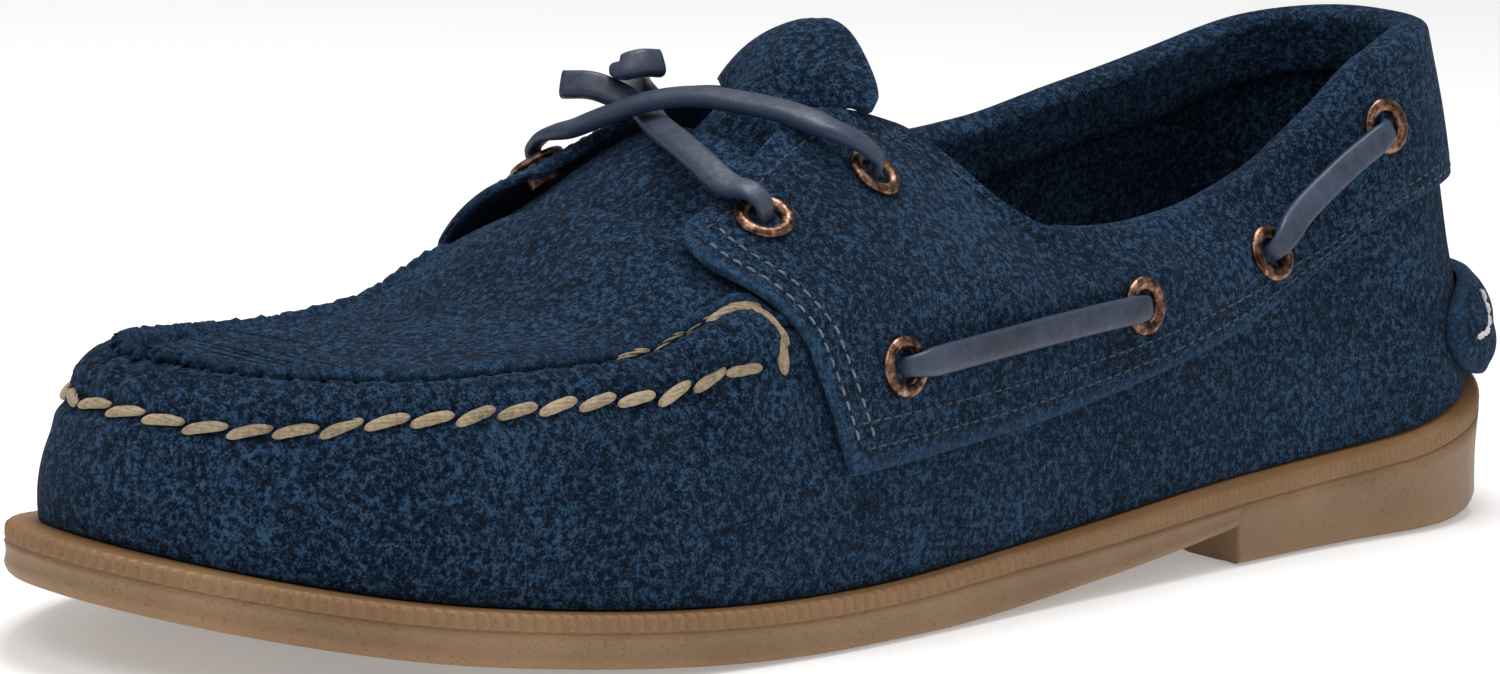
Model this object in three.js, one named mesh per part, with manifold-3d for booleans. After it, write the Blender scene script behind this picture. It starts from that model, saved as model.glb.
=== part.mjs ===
// Boat shoe (left): toe towards -Y, outer side +X, +Z up, millimetres.
// Every surface hangs on one idea: an outline round the foot, moved inwards by an inset
// and upwards by a height. Short tables give inset and height at shares of the length.
import * as THREE from 'three';
import Module from 'manifold-3d';

const wasm = await Module();
wasm.setup();
const { Manifold, Mesh } = wasm;

// Driving sizes.
const LENGTH = 295; // outsole, toe to heel
const BALL_WIDTH = 102.2; // outsole at the ball
const TOE_BEND = 9; // how far the toe tip leans to the inner side
const TOE_SPRING = 11.6;
const FOREFOOT_THICK = 8.6; // outsole under the ball
const ARCH_HEIGHT = 6.5;
const SEAM_HEIGHT = 42; // moccasin stitch line at the toe, above the ground
const HEEL_HEIGHT = 86; // top of the collar at the back
const TONGUE_RISE = 7; // top of the tongue above that
const WALL = 2.2; // leather of the upper
const OVERLAY = 1.6; // leather of the quarter
const LINING = 1.2; // collar leather turned inside
const GAP = 0.3; // clearance between pieces that touch
const FACET = 0.35; // extra where two curved shells lie together, for the flats of their facets
const INSOLE_THICK = 3;
const TONGUE_THICK = 2.2;
const TONGUE_LEAN = 2.4; // the tongue's top leans to the inner side
const ROLL_DEPTH = 10; // how far the collar turns down inside
const RIM_HEIGHT = 2.3; // raised rim round the sole's top edge
const RIM_STEP = 0.5; // how far the rim stands out
const LEDGE = 7.0; // the sole's top that the upper stands on
const EYELET_OUTER = 10;
const EYELET_BORE = 5.2;
const EYELET_FLANGE = 1.0;
const BAND_WIDTH = 5.4; // puckered band of the moccasin seam
const BAND_RISE = 3.2;
const BAND_LIP = 1.2; // cut edge standing over the plug
const LACE_WIDTH = 4.8;
const LACE_THICK = 2.4;
const TAB_STAND = 5.2; // heel tab, proud of the quarter
const TAB_LOW = 24.5; // its lower and upper edge above the ground
const TAB_HIGH = 42;

const HALF = LENGTH / 2;
const INSTEP_HEIGHT = HEEL_HEIGHT + TONGUE_RISE;
const HB = BALL_WIDTH / 2;

// Small maths.
const lerp = (a, b, t) => a + (b - a) * t;
const clamp = (v, lo = 0, hi = 1) => Math.min(hi, Math.max(lo, v));
const smooth = (a, b, v) => { const t = clamp((v - a) / (b - a)); return t * t * (3 - 2 * t); };
const add = (p, q, k = 1) => [p[0] + q[0] * k, p[1] + q[1] * k, p[2] + q[2] * k];
const sub = (p, q) => [p[0] - q[0], p[1] - q[1], p[2] - q[2]];
const mix = (p, q, t) => p.map((v, i) => lerp(v, q[i], t));
const dot = (p, q) => p[0] * q[0] + p[1] * q[1] + p[2] * q[2];
const cross = (p, q) => [p[1] * q[2] - p[2] * q[1], p[2] * q[0] - p[0] * q[2], p[0] * q[1] - p[1] * q[0]];
const unit = (p) => { const l = Math.hypot(...p) || 1; return p.map((v) => v / l); };
const steps = (n, f) => Array.from({ length: n + 1 }, (_, i) => f(i / n, i));

// Monotone cubic through the rows of a table: no overshoot between rows.
function curve(rows, col) {
  const x = rows.map((r) => r[0]), y = rows.map((r) => r[col]), n = x.length;
  const h = [], d = [], m = new Array(n);
  for (let i = 0; i < n - 1; i++) { h[i] = x[i + 1] - x[i]; d[i] = (y[i + 1] - y[i]) / h[i]; }
  for (let i = 1; i < n - 1; i++) {
    if (d[i - 1] * d[i] <= 0) { m[i] = 0; continue; }
    const a = 2 * h[i] + h[i - 1], b = h[i] + 2 * h[i - 1];
    m[i] = (a + b) / (a / d[i - 1] + b / d[i]);
  }
  m[0] = d[0]; m[n - 1] = d[n - 2];
  return (v) => {
    if (v <= x[0]) return y[0];
    if (v >= x[n - 1]) return y[n - 1];
    let i = 0; while (v > x[i + 1]) i++;
    const t = (v - x[i]) / h[i], t2 = t * t, t3 = t2 * t;
    return y[i] * (2 * t3 - 3 * t2 + 1) + h[i] * m[i] * (t3 - 2 * t2 + t)
      + y[i + 1] * (3 * t2 - 2 * t3) + h[i] * m[i + 1] * (t3 - t2);
  };
}
const columns = (rows) => rows[0].slice(1).map((_, i) => curve(rows, i + 1));
// Columns that are shares of named sizes, one size a column.
const scaled = (sizes, rows) => columns(rows).map((f, i) => (v) => f(v) * sizes[i]);

// Outline of the sole: share of length from the toe, half widths as shares of HB.
const [outerHalf, innerHalf] = columns([
  // s, outer side, inner side
  [0.00, 0.738, 0.675],
  [0.16, 0.913, 0.933],
  [0.34, 1.000, 1.000],
  [0.60, 0.838, 0.725],
  [0.86, 0.688, 0.688],
  [1.00, 0.688, 0.688],
]);
const cap = (t, n) => (1 - (1 - clamp(t)) ** n) ** (1 / n);
const bend = (s) => -TOE_BEND * clamp(1 - s / 0.34) ** 2;

// Point on the outline at angle a (0 toe, PI heel, sign = side), moved in by an inset.
function plan(a, inset) {
  const s = (1 - Math.cos(a)) / 2, side = a < 0 ? -1 : 1;
  const half = (side > 0 ? outerHalf(s) : innerHalf(s)) * HB - inset;
  const x = bend(s) + side * half * cap(s / 0.16, 2.2) * cap((1 - s) / 0.13, 2.3);
  const toe = clamp(1 - s / 0.30) ** 2, heel = clamp(1 - (1 - s) / 0.26) ** 2;
  return [x, -HALF + LENGTH * s + inset * (toe - heel)];
}
const share = (a) => (1 - Math.cos(a)) / 2;
const angle = (s, side = 1) => side * Math.acos(1 - 2 * clamp(s));

// Heights of the sole.
const spring = (s) => TOE_SPRING * clamp(1 - s / 0.38) ** 1.93;
const soleBottom = (s) => spring(s) + (s < 0.722 ? ARCH_HEIGHT * clamp((s - 0.46) / 0.262) ** 1.5 : 0);
const [ledgeOver, seatOver] = scaled([FOREFOOT_THICK, FOREFOOT_THICK], [
  // s, ledge and footbed above the spring line / FOREFOOT_THICK
  [0.00, 1.000, 0.826],
  [0.40, 1.000, 0.826],
  [0.55, 1.233, 1.000],
  [0.70, 1.628, 1.395],
  [0.87, 1.977, 1.628],
  [0.94, 2.372, 1.674],
  [1.00, 3.023, 1.744],
]);
const soleEdge = (s) => spring(s) + ledgeOver(s), soleSeat = (s) => spring(s) + seatOver(s);

// The wall: feather edge F, stitch line or shoulder Q, top line G.
const [insetF, bulgeF, bulgeQ, insetQ, riseOuter] = scaled([HB, HB, HB, HB, SEAM_HEIGHT], [
  // s, inset of F, outward pull above F, outward pull below Q, inset of Q / HB, height of Q / SEAM_HEIGHT
  [0.0, 0.1018, 0.0235, 0.0978, 0.225, 1.0],
  [0.06, 0.0978, 0.0254, 0.0783, 0.1918, 0.985],
  [0.13, 0.0861, 0.0294, 0.0705, 0.1644, 0.99],
  [0.2, 0.0724, 0.0333, 0.0705, 0.1487, 1.01],
  [0.27, 0.0646, 0.0352, 0.0744, 0.1526, 1.035],
  [0.345, 0.0646, 0.0372, 0.0744, 0.1566, 1.195],
  [0.43, 0.0646, 0.0372, 0.0548, 0.135, 1.19],
  [0.63, 0.0646, 0.0196, 0.0352, 0.1233, 1.167],
  [0.76, 0.0626, 0.0117, 0.0235, 0.1096, 1.19],
  [0.87, 0.0587, 0.0078, 0.0176, 0.1135, 1.215],
  [1.0, 0.047, 0.0059, 0.0274, 0.1585, 1.215],
]);
const [riseInner] = scaled([SEAM_HEIGHT], [
  // s, the same height on the inner side
  [0.0, 1.0],
  [0.06, 0.97],
  [0.13, 0.925],
  [0.2, 0.905],
  [0.27, 0.945],
  [0.345, 1.13],
  [0.43, 1.19],
  [0.63, 1.167],
  [0.76, 1.19],
  [0.87, 1.215],
  [1.0, 1.215],
]);
const heightQ = (s, side) => (side > 0 ? riseOuter(s) : riseInner(s));
const [insetG, pullK, pullZ] = scaled([HB, HB, SEAM_HEIGHT], [
  // s, inset of G / HB, then the handle below G: outwards / HB, downwards / SEAM_HEIGHT
  [0.3, 0.499, 0.1761, 0.0762],
  [0.36, 0.5675, 0.2153, 0.0619],
  [0.455, 0.6732, 0.2153, 0.2143],
  [0.51, 0.6184, 0.1859, 0.25],
  [0.54, 0.5147, 0.137, 0.2381],
  [0.565, 0.3757, 0.0783, 0.1905],
  [0.59, 0.2818, 0.0431, 0.0952],
  [0.65, 0.2622, 0.0352, 0.0857],
  [0.76, 0.2524, 0.0313, 0.1429],
  [0.87, 0.2329, 0.0274, 0.2143],
  [1.0, 0.2935, 0.0431, 0.2143],
]);
const heightG = {
  1: curve([
    // s, height of the top line on the outer side / HEEL_HEIGHT
    [0.30, 0.700], [0.36, 0.765], [0.455, 0.918], [0.51, 0.880], [0.54, 0.815], [0.565, 0.733],
    [0.59, 0.680], [0.64, 0.668], [0.69, 0.680], [0.76, 0.738], [0.82, 0.845], [0.87, 0.950],
    [0.93, 1.000], [1.00, 1.000],
  ], 1),
  '-1': curve([
    // s, the same on the inner side
    [0.30, 0.700], [0.36, 0.765], [0.455, 0.918], [0.51, 0.885], [0.54, 0.840], [0.565, 0.790],
    [0.59, 0.765], [0.64, 0.765], [0.69, 0.785], [0.76, 0.845], [0.82, 0.890], [0.87, 0.925],
    [0.93, 0.968], [1.00, 1.000],
  ], 1),
};
// The opening is even about the foot's middle, though the sole is narrower at the arch.
const topInset = (s, side) => insetG(s) - (side < 0 ? (outerHalf(s) - innerHalf(s)) * HB : 0);
const heightF = (s) => soleEdge(s) + GAP;
// the inner side bulges less below Q, ahead of the laces
const farBulge = curve([[0, 1], [0.2, 0.85], [0.33, 0.6], [0.42, 0.7], [0.6, 1], [1, 1]], 1);
const bez = (p, t) => {
  const u = 1 - t;
  return [0, 1].map((i) => u * u * u * p[0][i] + 3 * u * u * t * p[1][i] + 3 * u * t * t * p[2][i] + t * t * t * p[3][i]);
};

const wrap = (a) => (a > Math.PI ? a - 2 * Math.PI : a < -Math.PI ? a + 2 * Math.PI : a);

// Base surface of wall and quarter: v 0..1 runs from F to Q, 1..2 from Q to G.
function wall(round, v) {
  const a = wrap(round), s = share(a), side = a < 0 ? -1 : 1;
  const F = [insetF(s), heightF(s)], Q = [insetQ(s), heightQ(s, side)], h = Q[1] - F[1];
  const C2 = [Q[0] - bulgeQ(s) * (side < 0 ? farBulge(s) : 1), Q[1] - 0.30 * h];
  let kz;
  if (v <= 1) {
    kz = bez([F, [F[0] - bulgeF(s), F[1] + 0.33 * h], C2, Q], v);
  } else {
    const G = [topInset(s, side), heightG[side](s) * HEEL_HEIGHT], r = 0.9 * (G[1] - Q[1]) / h;
    kz = bez([Q, [Q[0] + (Q[0] - C2[0]) * r, Q[1] + (Q[1] - C2[1]) * r],
      [G[0] - pullK(s), G[1] - pullZ(s)], G], v - 1);
  }
  const [x, y] = plan(a, kz[0]);
  return [x, y, kz[1]];
}
function wallNormal(a, v) {
  const e = 2e-3, lo = v < 1 ? Math.max(v - e, 0) : v - e;
  const du = sub(wall(a + e, v), wall(a - e, v)), dv = sub(wall(a, v + e), wall(a, lo));
  return unit(cross(du, dv));
}
const onWall = (a, v, off) => add(wall(a, v), wallNormal(a, v), off);
// v at which the wall below Q reaches a height
function wallAt(a, z) {
  let lo = 0, hi = z > wall(a, 1)[2] ? 2 : 1;
  if (hi === 2) lo = 1;
  for (let i = 0; i < 30; i++) { const m = (lo + hi) / 2; if (wall(a, m)[2] < z) lo = m; else hi = m; }
  return (lo + hi) / 2;
}

// A closed mesh from strips of points.
class Skin {
  constructor() { this.points = []; this.faces = []; this.index = new Map(); }
  id(p) {
    const key = p.map((v) => Math.round(v * 5000)).join();
    if (!this.index.has(key)) { this.index.set(key, this.points.length); this.points.push(p); }
    return this.index.get(key);
  }
  face(p, q, r) {
    const [a, b, c] = [this.id(p), this.id(q), this.id(r)];
    if (a !== b && b !== c && c !== a) this.faces.push([a, b, c]);
  }
  quad(p, q, r, s) { this.face(p, q, r); this.face(p, r, s); }
  // rows of points of one length; flip turns the faces over
  grid(rows, flip = false) {
    for (let i = 0; i + 1 < rows.length; i++) {
      for (let j = 0; j + 1 < rows[i].length; j++) {
        const [p, q, r, s] = [rows[i][j], rows[i + 1][j], rows[i + 1][j + 1], rows[i][j + 1]];
        if (flip) this.quad(s, r, q, p); else this.quad(p, q, r, s);
      }
    }
  }
  fan(ring, flip = false) {
    const c = ring.reduce((m, p) => add(m, p, 1 / ring.length), [0, 0, 0]);
    ring.forEach((p, i) => { const q = ring[(i + 1) % ring.length]; if (flip) this.face(c, q, p); else this.face(c, p, q); });
  }
  volume() {
    return this.faces.reduce((v, [a, b, c]) => {
      const [p, q, r] = [this.points[a], this.points[b], this.points[c]];
      return v + (p[0] * (q[1] * r[2] - q[2] * r[1]) + p[1] * (q[2] * r[0] - q[0] * r[2]) + p[2] * (q[0] * r[1] - q[1] * r[0])) / 6;
    }, 0);
  }
  manifold() {
    if (this.volume() < 0) this.faces.forEach((f) => f.reverse());
    return new Manifold(new Mesh({
      numProp: 3, vertProperties: new Float32Array(this.points.flat()), triVerts: new Uint32Array(this.faces.flat()),
    }));
  }
}
function toGeometry(solid) {
  const mesh = solid.getMesh(), g = new THREE.BufferGeometry();
  const xyz = new Float32Array(mesh.numVert * 3);
  for (let i = 0; i < mesh.numVert; i++) for (let k = 0; k < 3; k++) xyz[i * 3 + k] = mesh.vertProperties[i * mesh.numProp + k];
  g.setAttribute('position', new THREE.BufferAttribute(xyz, 3));
  g.setIndex(new THREE.BufferAttribute(Uint32Array.from(mesh.triVerts), 1));
  g.computeVertexNormals();
  return g;
}
// Closed body from a loop of rings, each a closed ring of points; ends are fanned shut.
function tube(rings, closed = false) {
  const skin = new Skin();
  const loops = rings.map((r) => [...r, r[0]]);
  skin.grid(closed ? [...loops, loops[0]] : loops);
  if (!closed) { skin.fan(rings[0]); skin.fan(rings[rings.length - 1], true); }
  return skin;
}

// Materials.
const paint = (color, roughness, metalness = 0) => new THREE.MeshStandardMaterial({ color, roughness, metalness });
const suede = paint(0x1f3557, 0.95);
const lining = paint(0x16233c, 0.9);
const gum = paint(0xa9794a, 0.55);
const bed = paint(0x6b4a30, 0.7);
const lace = paint(0x3a4663, 0.5);
const copper = paint(0x9b6a4c, 0.35, 0.9);

const shoe = new THREE.Group();
shoe.name = 'boat_shoe';
function piece(name, skin, material) {
  const solid = skin instanceof Skin ? skin.manifold() : skin;
  const mesh = new THREE.Mesh(toGeometry(solid), material);
  mesh.name = name;
  shoe.add(mesh);
  return mesh;
}

// Angles round the shoe: even in arc, with both tips on the list.
const TURN_COLS = 28;
const turn = steps(TURN_COLS * 2, (t) => lerp(-Math.PI, Math.PI, t));

// Outsole.
// Rings from the bottom edge over the side and the rim to the footbed.
const [filletOf] = scaled([FOREFOOT_THICK], [
  // s, radius of the bottom edge / FOREFOOT_THICK
  [0, 0.256], [0.3, 0.14], [0.72, 0.14], [0.88, 0.233], [1, 0.465],
]);
function soleRing(inset, height) {
  return turn.map((a) => { const s = share(a), [x, y] = plan(a, inset(s)); return [x, y, height(s)]; });
}
function outsole() {
  const skin = new Skin();
  const rings = [
    soleRing((s) => filletOf(s) * 0.9, (s) => soleBottom(s)),
    soleRing((s) => filletOf(s) * 0.25, (s) => soleBottom(s) + filletOf(s) * 0.35),
    soleRing(() => 0, (s) => soleBottom(s) + filletOf(s)),
    soleRing(() => RIM_STEP, (s) => soleEdge(s) - RIM_HEIGHT - RIM_STEP),
    soleRing(() => 0, (s) => soleEdge(s) - RIM_HEIGHT),
    soleRing(() => 0, (s) => soleEdge(s) - 0.7),
    soleRing(() => 0.7, (s) => soleEdge(s)),
    soleRing(() => LEDGE, (s) => soleEdge(s)),
    soleRing(() => LEDGE + 1.2, (s) => soleSeat(s)),
  ];
  skin.grid(rings);
  const across = 4;
  // the footbed and the underside are bridged from side to side
  for (const [ring, up] of [[rings[rings.length - 1], true], [rings[0], false]]) {
    const rows = steps(TURN_COLS, (_, i) => steps(across, (t) => mix(ring[TURN_COLS - i], ring[TURN_COLS + i], t)));
    skin.grid(rows, !up);
  }
  return skin;
}

// Insole: follows the footbed.
function insole() {
  const skin = new Skin(), inset = LEDGE + 1.2 + 0.9;
  const ring = (lift, more) => turn.map((a) => { const [x, y] = plan(a, inset + more); return [x, y, soleSeat(share(a)) + lift]; });
  const rings = [ring(GAP, 0.6), ring(GAP + 0.6, 0), ring(GAP + INSOLE_THICK - 0.6, 0), ring(GAP + INSOLE_THICK, 0.6)];
  skin.grid(rings);
  for (const [r, up] of [[rings[3], true], [rings[0], false]]) {
    skin.grid(steps(TURN_COLS, (_, i) => steps(3, (t) => mix(r[TURN_COLS - i], r[TURN_COLS + i], t))), !up);
  }
  return skin;
}

// Collar roll: where the quarter turns over the upper's top edge.
const ROLL_START = 0.568, ROLL_FULL = 0.622;
const LEG_OUT = WALL + GAP + FACET, LEG_IN = LEG_OUT + LINING;
const [rollDepth, slotTop, rollInner, slotInner] = scaled([ROLL_DEPTH, ROLL_DEPTH, LEG_IN, LEG_OUT], [
  // s, depth of the turned leg, depth of the slot's top / ROLL_DEPTH, offsets of the leg's two faces
  [ROLL_START, 0.18, 0.15, 0.074, 0.193],
  [ROLL_FULL - 0.032, 0.20, 0.17, -0.395, -0.21],
  [ROLL_FULL - 0.018, 0.26, 0.05, -1, -1],
  [ROLL_FULL, 1.00, 0.05, -1, -1],
  [1.00, 1.00, 0.05, -1, -1],
]);

// Upper.
const THROAT = 0.41; // share of length where the plug ends and the opening starts
const RIDGE_END = 0.345; // where the raised seam dies away
const ridge = (s) => 1 - 0.72 * smooth(RIDGE_END - 0.02, RIDGE_END + 0.02, s);
const [crown] = scaled([SEAM_HEIGHT], [
  // s, height of the plug's middle line above its edges / SEAM_HEIGHT
  [0.0, 0.0],
  [0.05, -0.0095],
  [0.12, -0.0143],
  [0.2, 0.0048],
  [0.27, 0.0714],
  [0.345, 0.2619],
  [0.38, 0.4405],
  [0.42, 0.619],
]);
const edgePower = curve([[0, 2.2], [0.3, 2.2], [0.38, 2.0], [0.42, 1.9]], 1);
// how far up the band the upper's own rim runs, as a share, until it meets the collar's slot
const rimShare = curve([
  [THROAT, 0.10], [0.44, 0.40], [0.48, 0.66], [0.53, 0.80], [ROLL_START, 0.64], [ROLL_FULL, 0.60],
], 1);
const bandLength = (a) => Math.hypot(...sub(wall(a, 2), wall(a, 1.5))) + Math.hypot(...sub(wall(a, 1.5), wall(a, 1)));
const rimAt = (a) => {
  const s = share(a), inSlot = 1 - (slotTop(s) + GAP + FACET) / bandLength(a);
  return lerp(rimShare(s), inSlot, smooth(ROLL_FULL - 0.014, ROLL_FULL, s));
};
// Q to E: the puckered band between the stitch line and the plug's cut edge
function seamBand(a, t) {
  const s = share(a), k = ridge(s);
  const inset = insetQ(s) + BAND_WIDTH * k * t, arch = Math.sin(t * Math.PI * 0.42) / Math.sin(Math.PI * 0.42);
  const z = heightQ(s, a < 0 ? -1 : 1) + BAND_RISE * k * arch;
  const [x, y] = plan(a, inset);
  return [x, y, z];
}
function plug(s, xi) {
  const E = [seamBand(angle(s, -1), 1), seamBand(angle(s, 1), 1)];
  const p = mix(E[0], E[1], (xi + 1) / 2);
  p[2] += crown(s) * (1 - Math.abs(xi) ** edgePower(s));
  return p;
}
const WALL_COLS = 5, BAND_COLS = 2, RISE_COLS = 3, PLUG_COLS = 10;
const throatRow = Math.round(angle(THROAT) / Math.PI * TURN_COLS);
const bridged = (c) => Math.abs(c - TURN_COLS) <= throatRow; // stations ahead of the throat
function upperStation(a, c) {
  const s = share(a);
  const rows = steps(WALL_COLS, (t) => wall(a, t));
  const atThroat = Math.abs(c - TURN_COLS) <= throatRow;
  for (let j = 1; j <= BAND_COLS; j++) {
    rows.push(atThroat ? seamBand(a, j / BAND_COLS) : wall(a, 1 + 0.10 * j / BAND_COLS));
  }
  for (let j = 1; j <= RISE_COLS; j++) {
    rows.push(atThroat ? rows[WALL_COLS + BAND_COLS] : wall(a, 1 + lerp(0.10, rimAt(a), j / RISE_COLS)));
  }
  return rows;
}
function upper() {
  const stations = turn.map((a, c) => upperStation(a, c));
  const plugRows = steps(throatRow, (_, i) => {
    const s = share(turn[TURN_COLS + i]);
    return steps(PLUG_COLS, (t) => plug(s, 2 * t - 1));
  });
  // base mesh, to take its normals
  const base = new Skin();
  const front = stations.filter((_, c) => bridged(c)).map((r) => r.slice(0, WALL_COLS + BAND_COLS + 1));
  base.grid(stations.slice(0, TURN_COLS - throatRow + 1));
  base.grid(front);
  base.grid(stations.slice(TURN_COLS + throatRow));
  base.grid(plugRows, true);
  const normal = base.points.map(() => [0, 0, 0]);
  for (const [a, b, c] of base.faces) {
    const n = cross(sub(base.points[b], base.points[a]), sub(base.points[c], base.points[a]));
    for (const i of [a, b, c]) normal[i] = add(normal[i], n);
  }
  const inner = (p, thick = WALL) => add(p, unit(normal[base.id(p)]), -thick);
  // which way the base faces: the toe's wall must look outwards
  const probe = stations[TURN_COLS][2], out = normal[base.id(probe)][1] < 0 ? 1 : -1;
  if (out < 0) normal.forEach((n, i) => { normal[i] = n.map((v) => -v); });
  const RIM_WALL = WALL - 0.6; // skived where the collar turns over it
  const feather = (rows) => rows.map((r) => r.map((p, j) => {
    const edge = r[WALL_COLS + BAND_COLS], risen = edge && base.id(p) !== base.id(edge);
    const q = inner(p, risen ? lerp(WALL, RIM_WALL, clamp((j - WALL_COLS - BAND_COLS) / 2)) : WALL);
    if (j === 0) q[2] = p[2];
    return q;
  }));
  // the raised lip at the plug's edge belongs to the outer skin only
  const lift = (p, s, d) => add(p, [0, 0, 1], BAND_LIP * (ridge(s) - 0.28) / 0.72 * d);
  const skin = new Skin();
  const outerFront = front.map((r, i) => {
    const s = share(turn[TURN_COLS - throatRow + i]);
    return r.map((p, j) => (j > WALL_COLS ? lift(p, s, j - WALL_COLS === BAND_COLS ? 1 : 0.9) : p));
  });
  const outerPlug = plugRows.map((r, i) => {
    const s = share(turn[TURN_COLS + i]);
    return r.map((p, j) => (j === 0 || j === PLUG_COLS ? lift(p, s, 1) : p));
  });
  const left = stations.slice(0, TURN_COLS - throatRow + 1), right = stations.slice(TURN_COLS + throatRow);
  // the throat's own stations carry the lip too, faded to nothing there
  skin.grid(left); skin.grid(outerFront); skin.grid(right); skin.grid(outerPlug, true);
  const inL = feather(left), inF = feather(front), inR = feather(right), inP = plugRows.map((r) => r.map((p) => inner(p)));
  inP.forEach((r, i) => { r[0] = inF[throatRow - i][WALL_COLS + BAND_COLS]; r[PLUG_COLS] = inF[throatRow + i][WALL_COLS + BAND_COLS]; });
  skin.grid(inL, true); skin.grid(inF, true); skin.grid(inR, true); skin.grid(inP);
  // rims: underneath all round, then the opening
  const strip = (o, i) => skin.grid([o, i]);
  strip(left.map((r) => r[0]), inL.map((r) => r[0]));
  strip(front.map((r) => r[0]), inF.map((r) => r[0]));
  strip(right.map((r) => r[0]), inR.map((r) => r[0]));
  const last = (r) => r[r.length - 1];
  skin.grid([inL.map(last), left.map(last)]);
  skin.grid([inR.map(last), right.map(last)]);
  skin.grid([inP[throatRow], outerPlug[throatRow]]);
  return skin;
}

// Quarter: overlay with both eyestays, and the collar roll joined to it.
const SURFACE = GAP + FACET + OVERLAY; // quarter's outer face, off the base wall
const frontShare = curve([
  // share up the front edge, share of length where the edge runs
  [0.00, 0.386], [0.30, 0.365], [0.55, 0.348], [0.86, 0.327], [0.95, 0.329], [1.00, 0.338],
], 1);
const frontInner = curve([[0.00, 0.386], [0.30, 0.362], [0.55, 0.343], [0.86, 0.345], [0.95, 0.350], [1.00, 0.358]], 1);
const lowerEdge = curve([
  // s, height of the quarter's lower edge / SEAM_HEIGHT
  [0.38, 0.652], [0.475, 0.693], [0.555, 0.738], [0.636, 0.819], [0.721, 0.945], [0.786, 1.112],
  [0.827, 1.233], [0.88, 1.36], [0.94, 1.43], [1.00, 1.45],
], 1);
function quarterPoint(u, w, off) {
  const af = angle(frontShare(w)), ab = 2 * Math.PI - angle(frontInner(w)), a = wrap(lerp(af, ab, u));
  const lowA = share(a) < 0.38 ? 0.652 : lowerEdge(share(a));
  const v = lerp(wallAt(a, lowA * SEAM_HEIGHT), 2, w);
  return onWall(a, v, off);
}
// point a depth below the top line, an offset away from the base wall
function nearTop(a, depth, off) {
  const len = bandLength(a), n = wallNormal(a, 1.995);
  const up = unit(sub(wall(a, 2), wall(a, 1.97)));
  if (depth <= 0) return add(add(wall(a, 2), up, -depth), n, off);
  return onWall(a, 2 - depth / len, off);
}
// over the top line, down the turned leg and back up its far side
function collar(a) {
  const s = share(a), o = SURFACE, i = rollInner(s), j = slotInner(s), d = rollDepth(s), t = slotTop(s);
  const mid = (o + i) / 2, h = Math.min(2.2, (o - i) * 0.42);
  return [
    [-0.55 * h, lerp(o, mid, 0.16)], [-0.88 * h, lerp(o, mid, 0.5)], [-h, mid],
    [-0.88 * h, lerp(i, mid, 0.5)], [-0.55 * h, lerp(i, mid, 0.16)], [0, i], [d * 0.5, i], [d, i],
    [d, j], [lerp(t, d, 0.5), j], [t, j], [t, GAP + FACET],
  ].map(([depth, off]) => nearTop(a, depth, off));
}
const QUARTER_COLS = 42, QUARTER_ROWS = 7;
// One closed ring of the quarter: outer face upwards, the collar, inner face downwards.
function quarterRing(u) {
  const a = wrap(lerp(angle(frontShare(1)), 2 * Math.PI - angle(frontInner(1)), u));
  const up = steps(QUARTER_ROWS, (w) => quarterPoint(u, w, SURFACE));
  const down = steps(QUARTER_ROWS, (w) => quarterPoint(u, w, GAP + FACET)).slice(0, -1).reverse();
  return { up, head: collar(a), down };
}
function quarter() {
  const first = angle(frontShare(1)), last = 2 * Math.PI - angle(frontInner(1));
  // the collar starts within a short stretch, so that stretch has its own stations
  const starts = [ROLL_START, ROLL_FULL - 0.032, ROLL_FULL - 0.018, ROLL_FULL].flatMap((s) => (
    [angle(s), 2 * Math.PI - angle(s)].map((a) => (a - first) / (last - first))));
  const even = steps(QUARTER_COLS, (u) => u).filter((u) => starts.every((v) => Math.abs(u - v) > 0.4 / QUARTER_COLS));
  const rings = [...even, ...starts].sort((p, q) => p - q).map(quarterRing);
  const skin = new Skin();
  skin.grid(rings.map(({ up, head, down }) => [...up, ...head, ...down, up[0]]));
  // the front edges: a strip between the faces, and a fan for the rounded top
  for (const [ring, flip] of [[rings[0], false], [rings[rings.length - 1], true]]) {
    const inner = [...ring.down].reverse();
    for (let k = 0; k < QUARTER_ROWS - 1; k++) {
      const [p, q, r, t] = [ring.up[k], ring.up[k + 1], inner[k + 1], inner[k]];
      if (flip) skin.quad(t, r, q, p); else skin.quad(p, q, r, t);
    }
    skin.fan([ring.up[QUARTER_ROWS - 1], ring.up[QUARTER_ROWS], ...ring.head, inner[QUARTER_ROWS - 1]], flip);
  }
  return skin;
}

// Tongue: an arched tab from under the plug to the top of the instep.
const [tongueY, tongueZ, tongueHalf, tongueDrop] = scaled([LENGTH, INSTEP_HEIGHT, HB, HB], [
  // share of its length, y / LENGTH, z / INSTEP_HEIGHT, half width, fall at the edges / HB
  [0.0, -0.142, 0.625, 0.3131, 0.137],
  [0.18, -0.113, 0.7, 0.3229, 0.1859],
  [0.4, -0.075, 0.825, 0.3033, 0.2348],
  [0.5, -0.06, 0.872, 0.2622, 0.2055],
  [0.62, -0.043, 0.917, 0.2427, 0.1663],
  [0.66, -0.039, 0.931, 0.2466, 0.1448],
  [0.7, -0.0345, 0.943, 0.2975, 0.1174],
  [0.76, -0.027, 0.961, 0.3601, 0.137],
  [0.85, -0.018, 0.982, 0.3914, 0.1605],
  [1.0, -0.006, 1.0, 0.3914, 0.1526],
]);
function tonguePoint(t, q) {
  const top = cap((1 - t) / 0.26, 2.2), x = q * tongueHalf(t) * Math.max(top, 0.02);
  const back = 0.07 * HB * Math.abs(q) ** 2 * smooth(0.2, 1, t);
  return [x - TONGUE_LEAN * smooth(0.6, 1, t), tongueY(t) + back, tongueZ(t) - tongueDrop(t) * Math.abs(x / tongueHalf(t)) ** 1.9];
}
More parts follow.
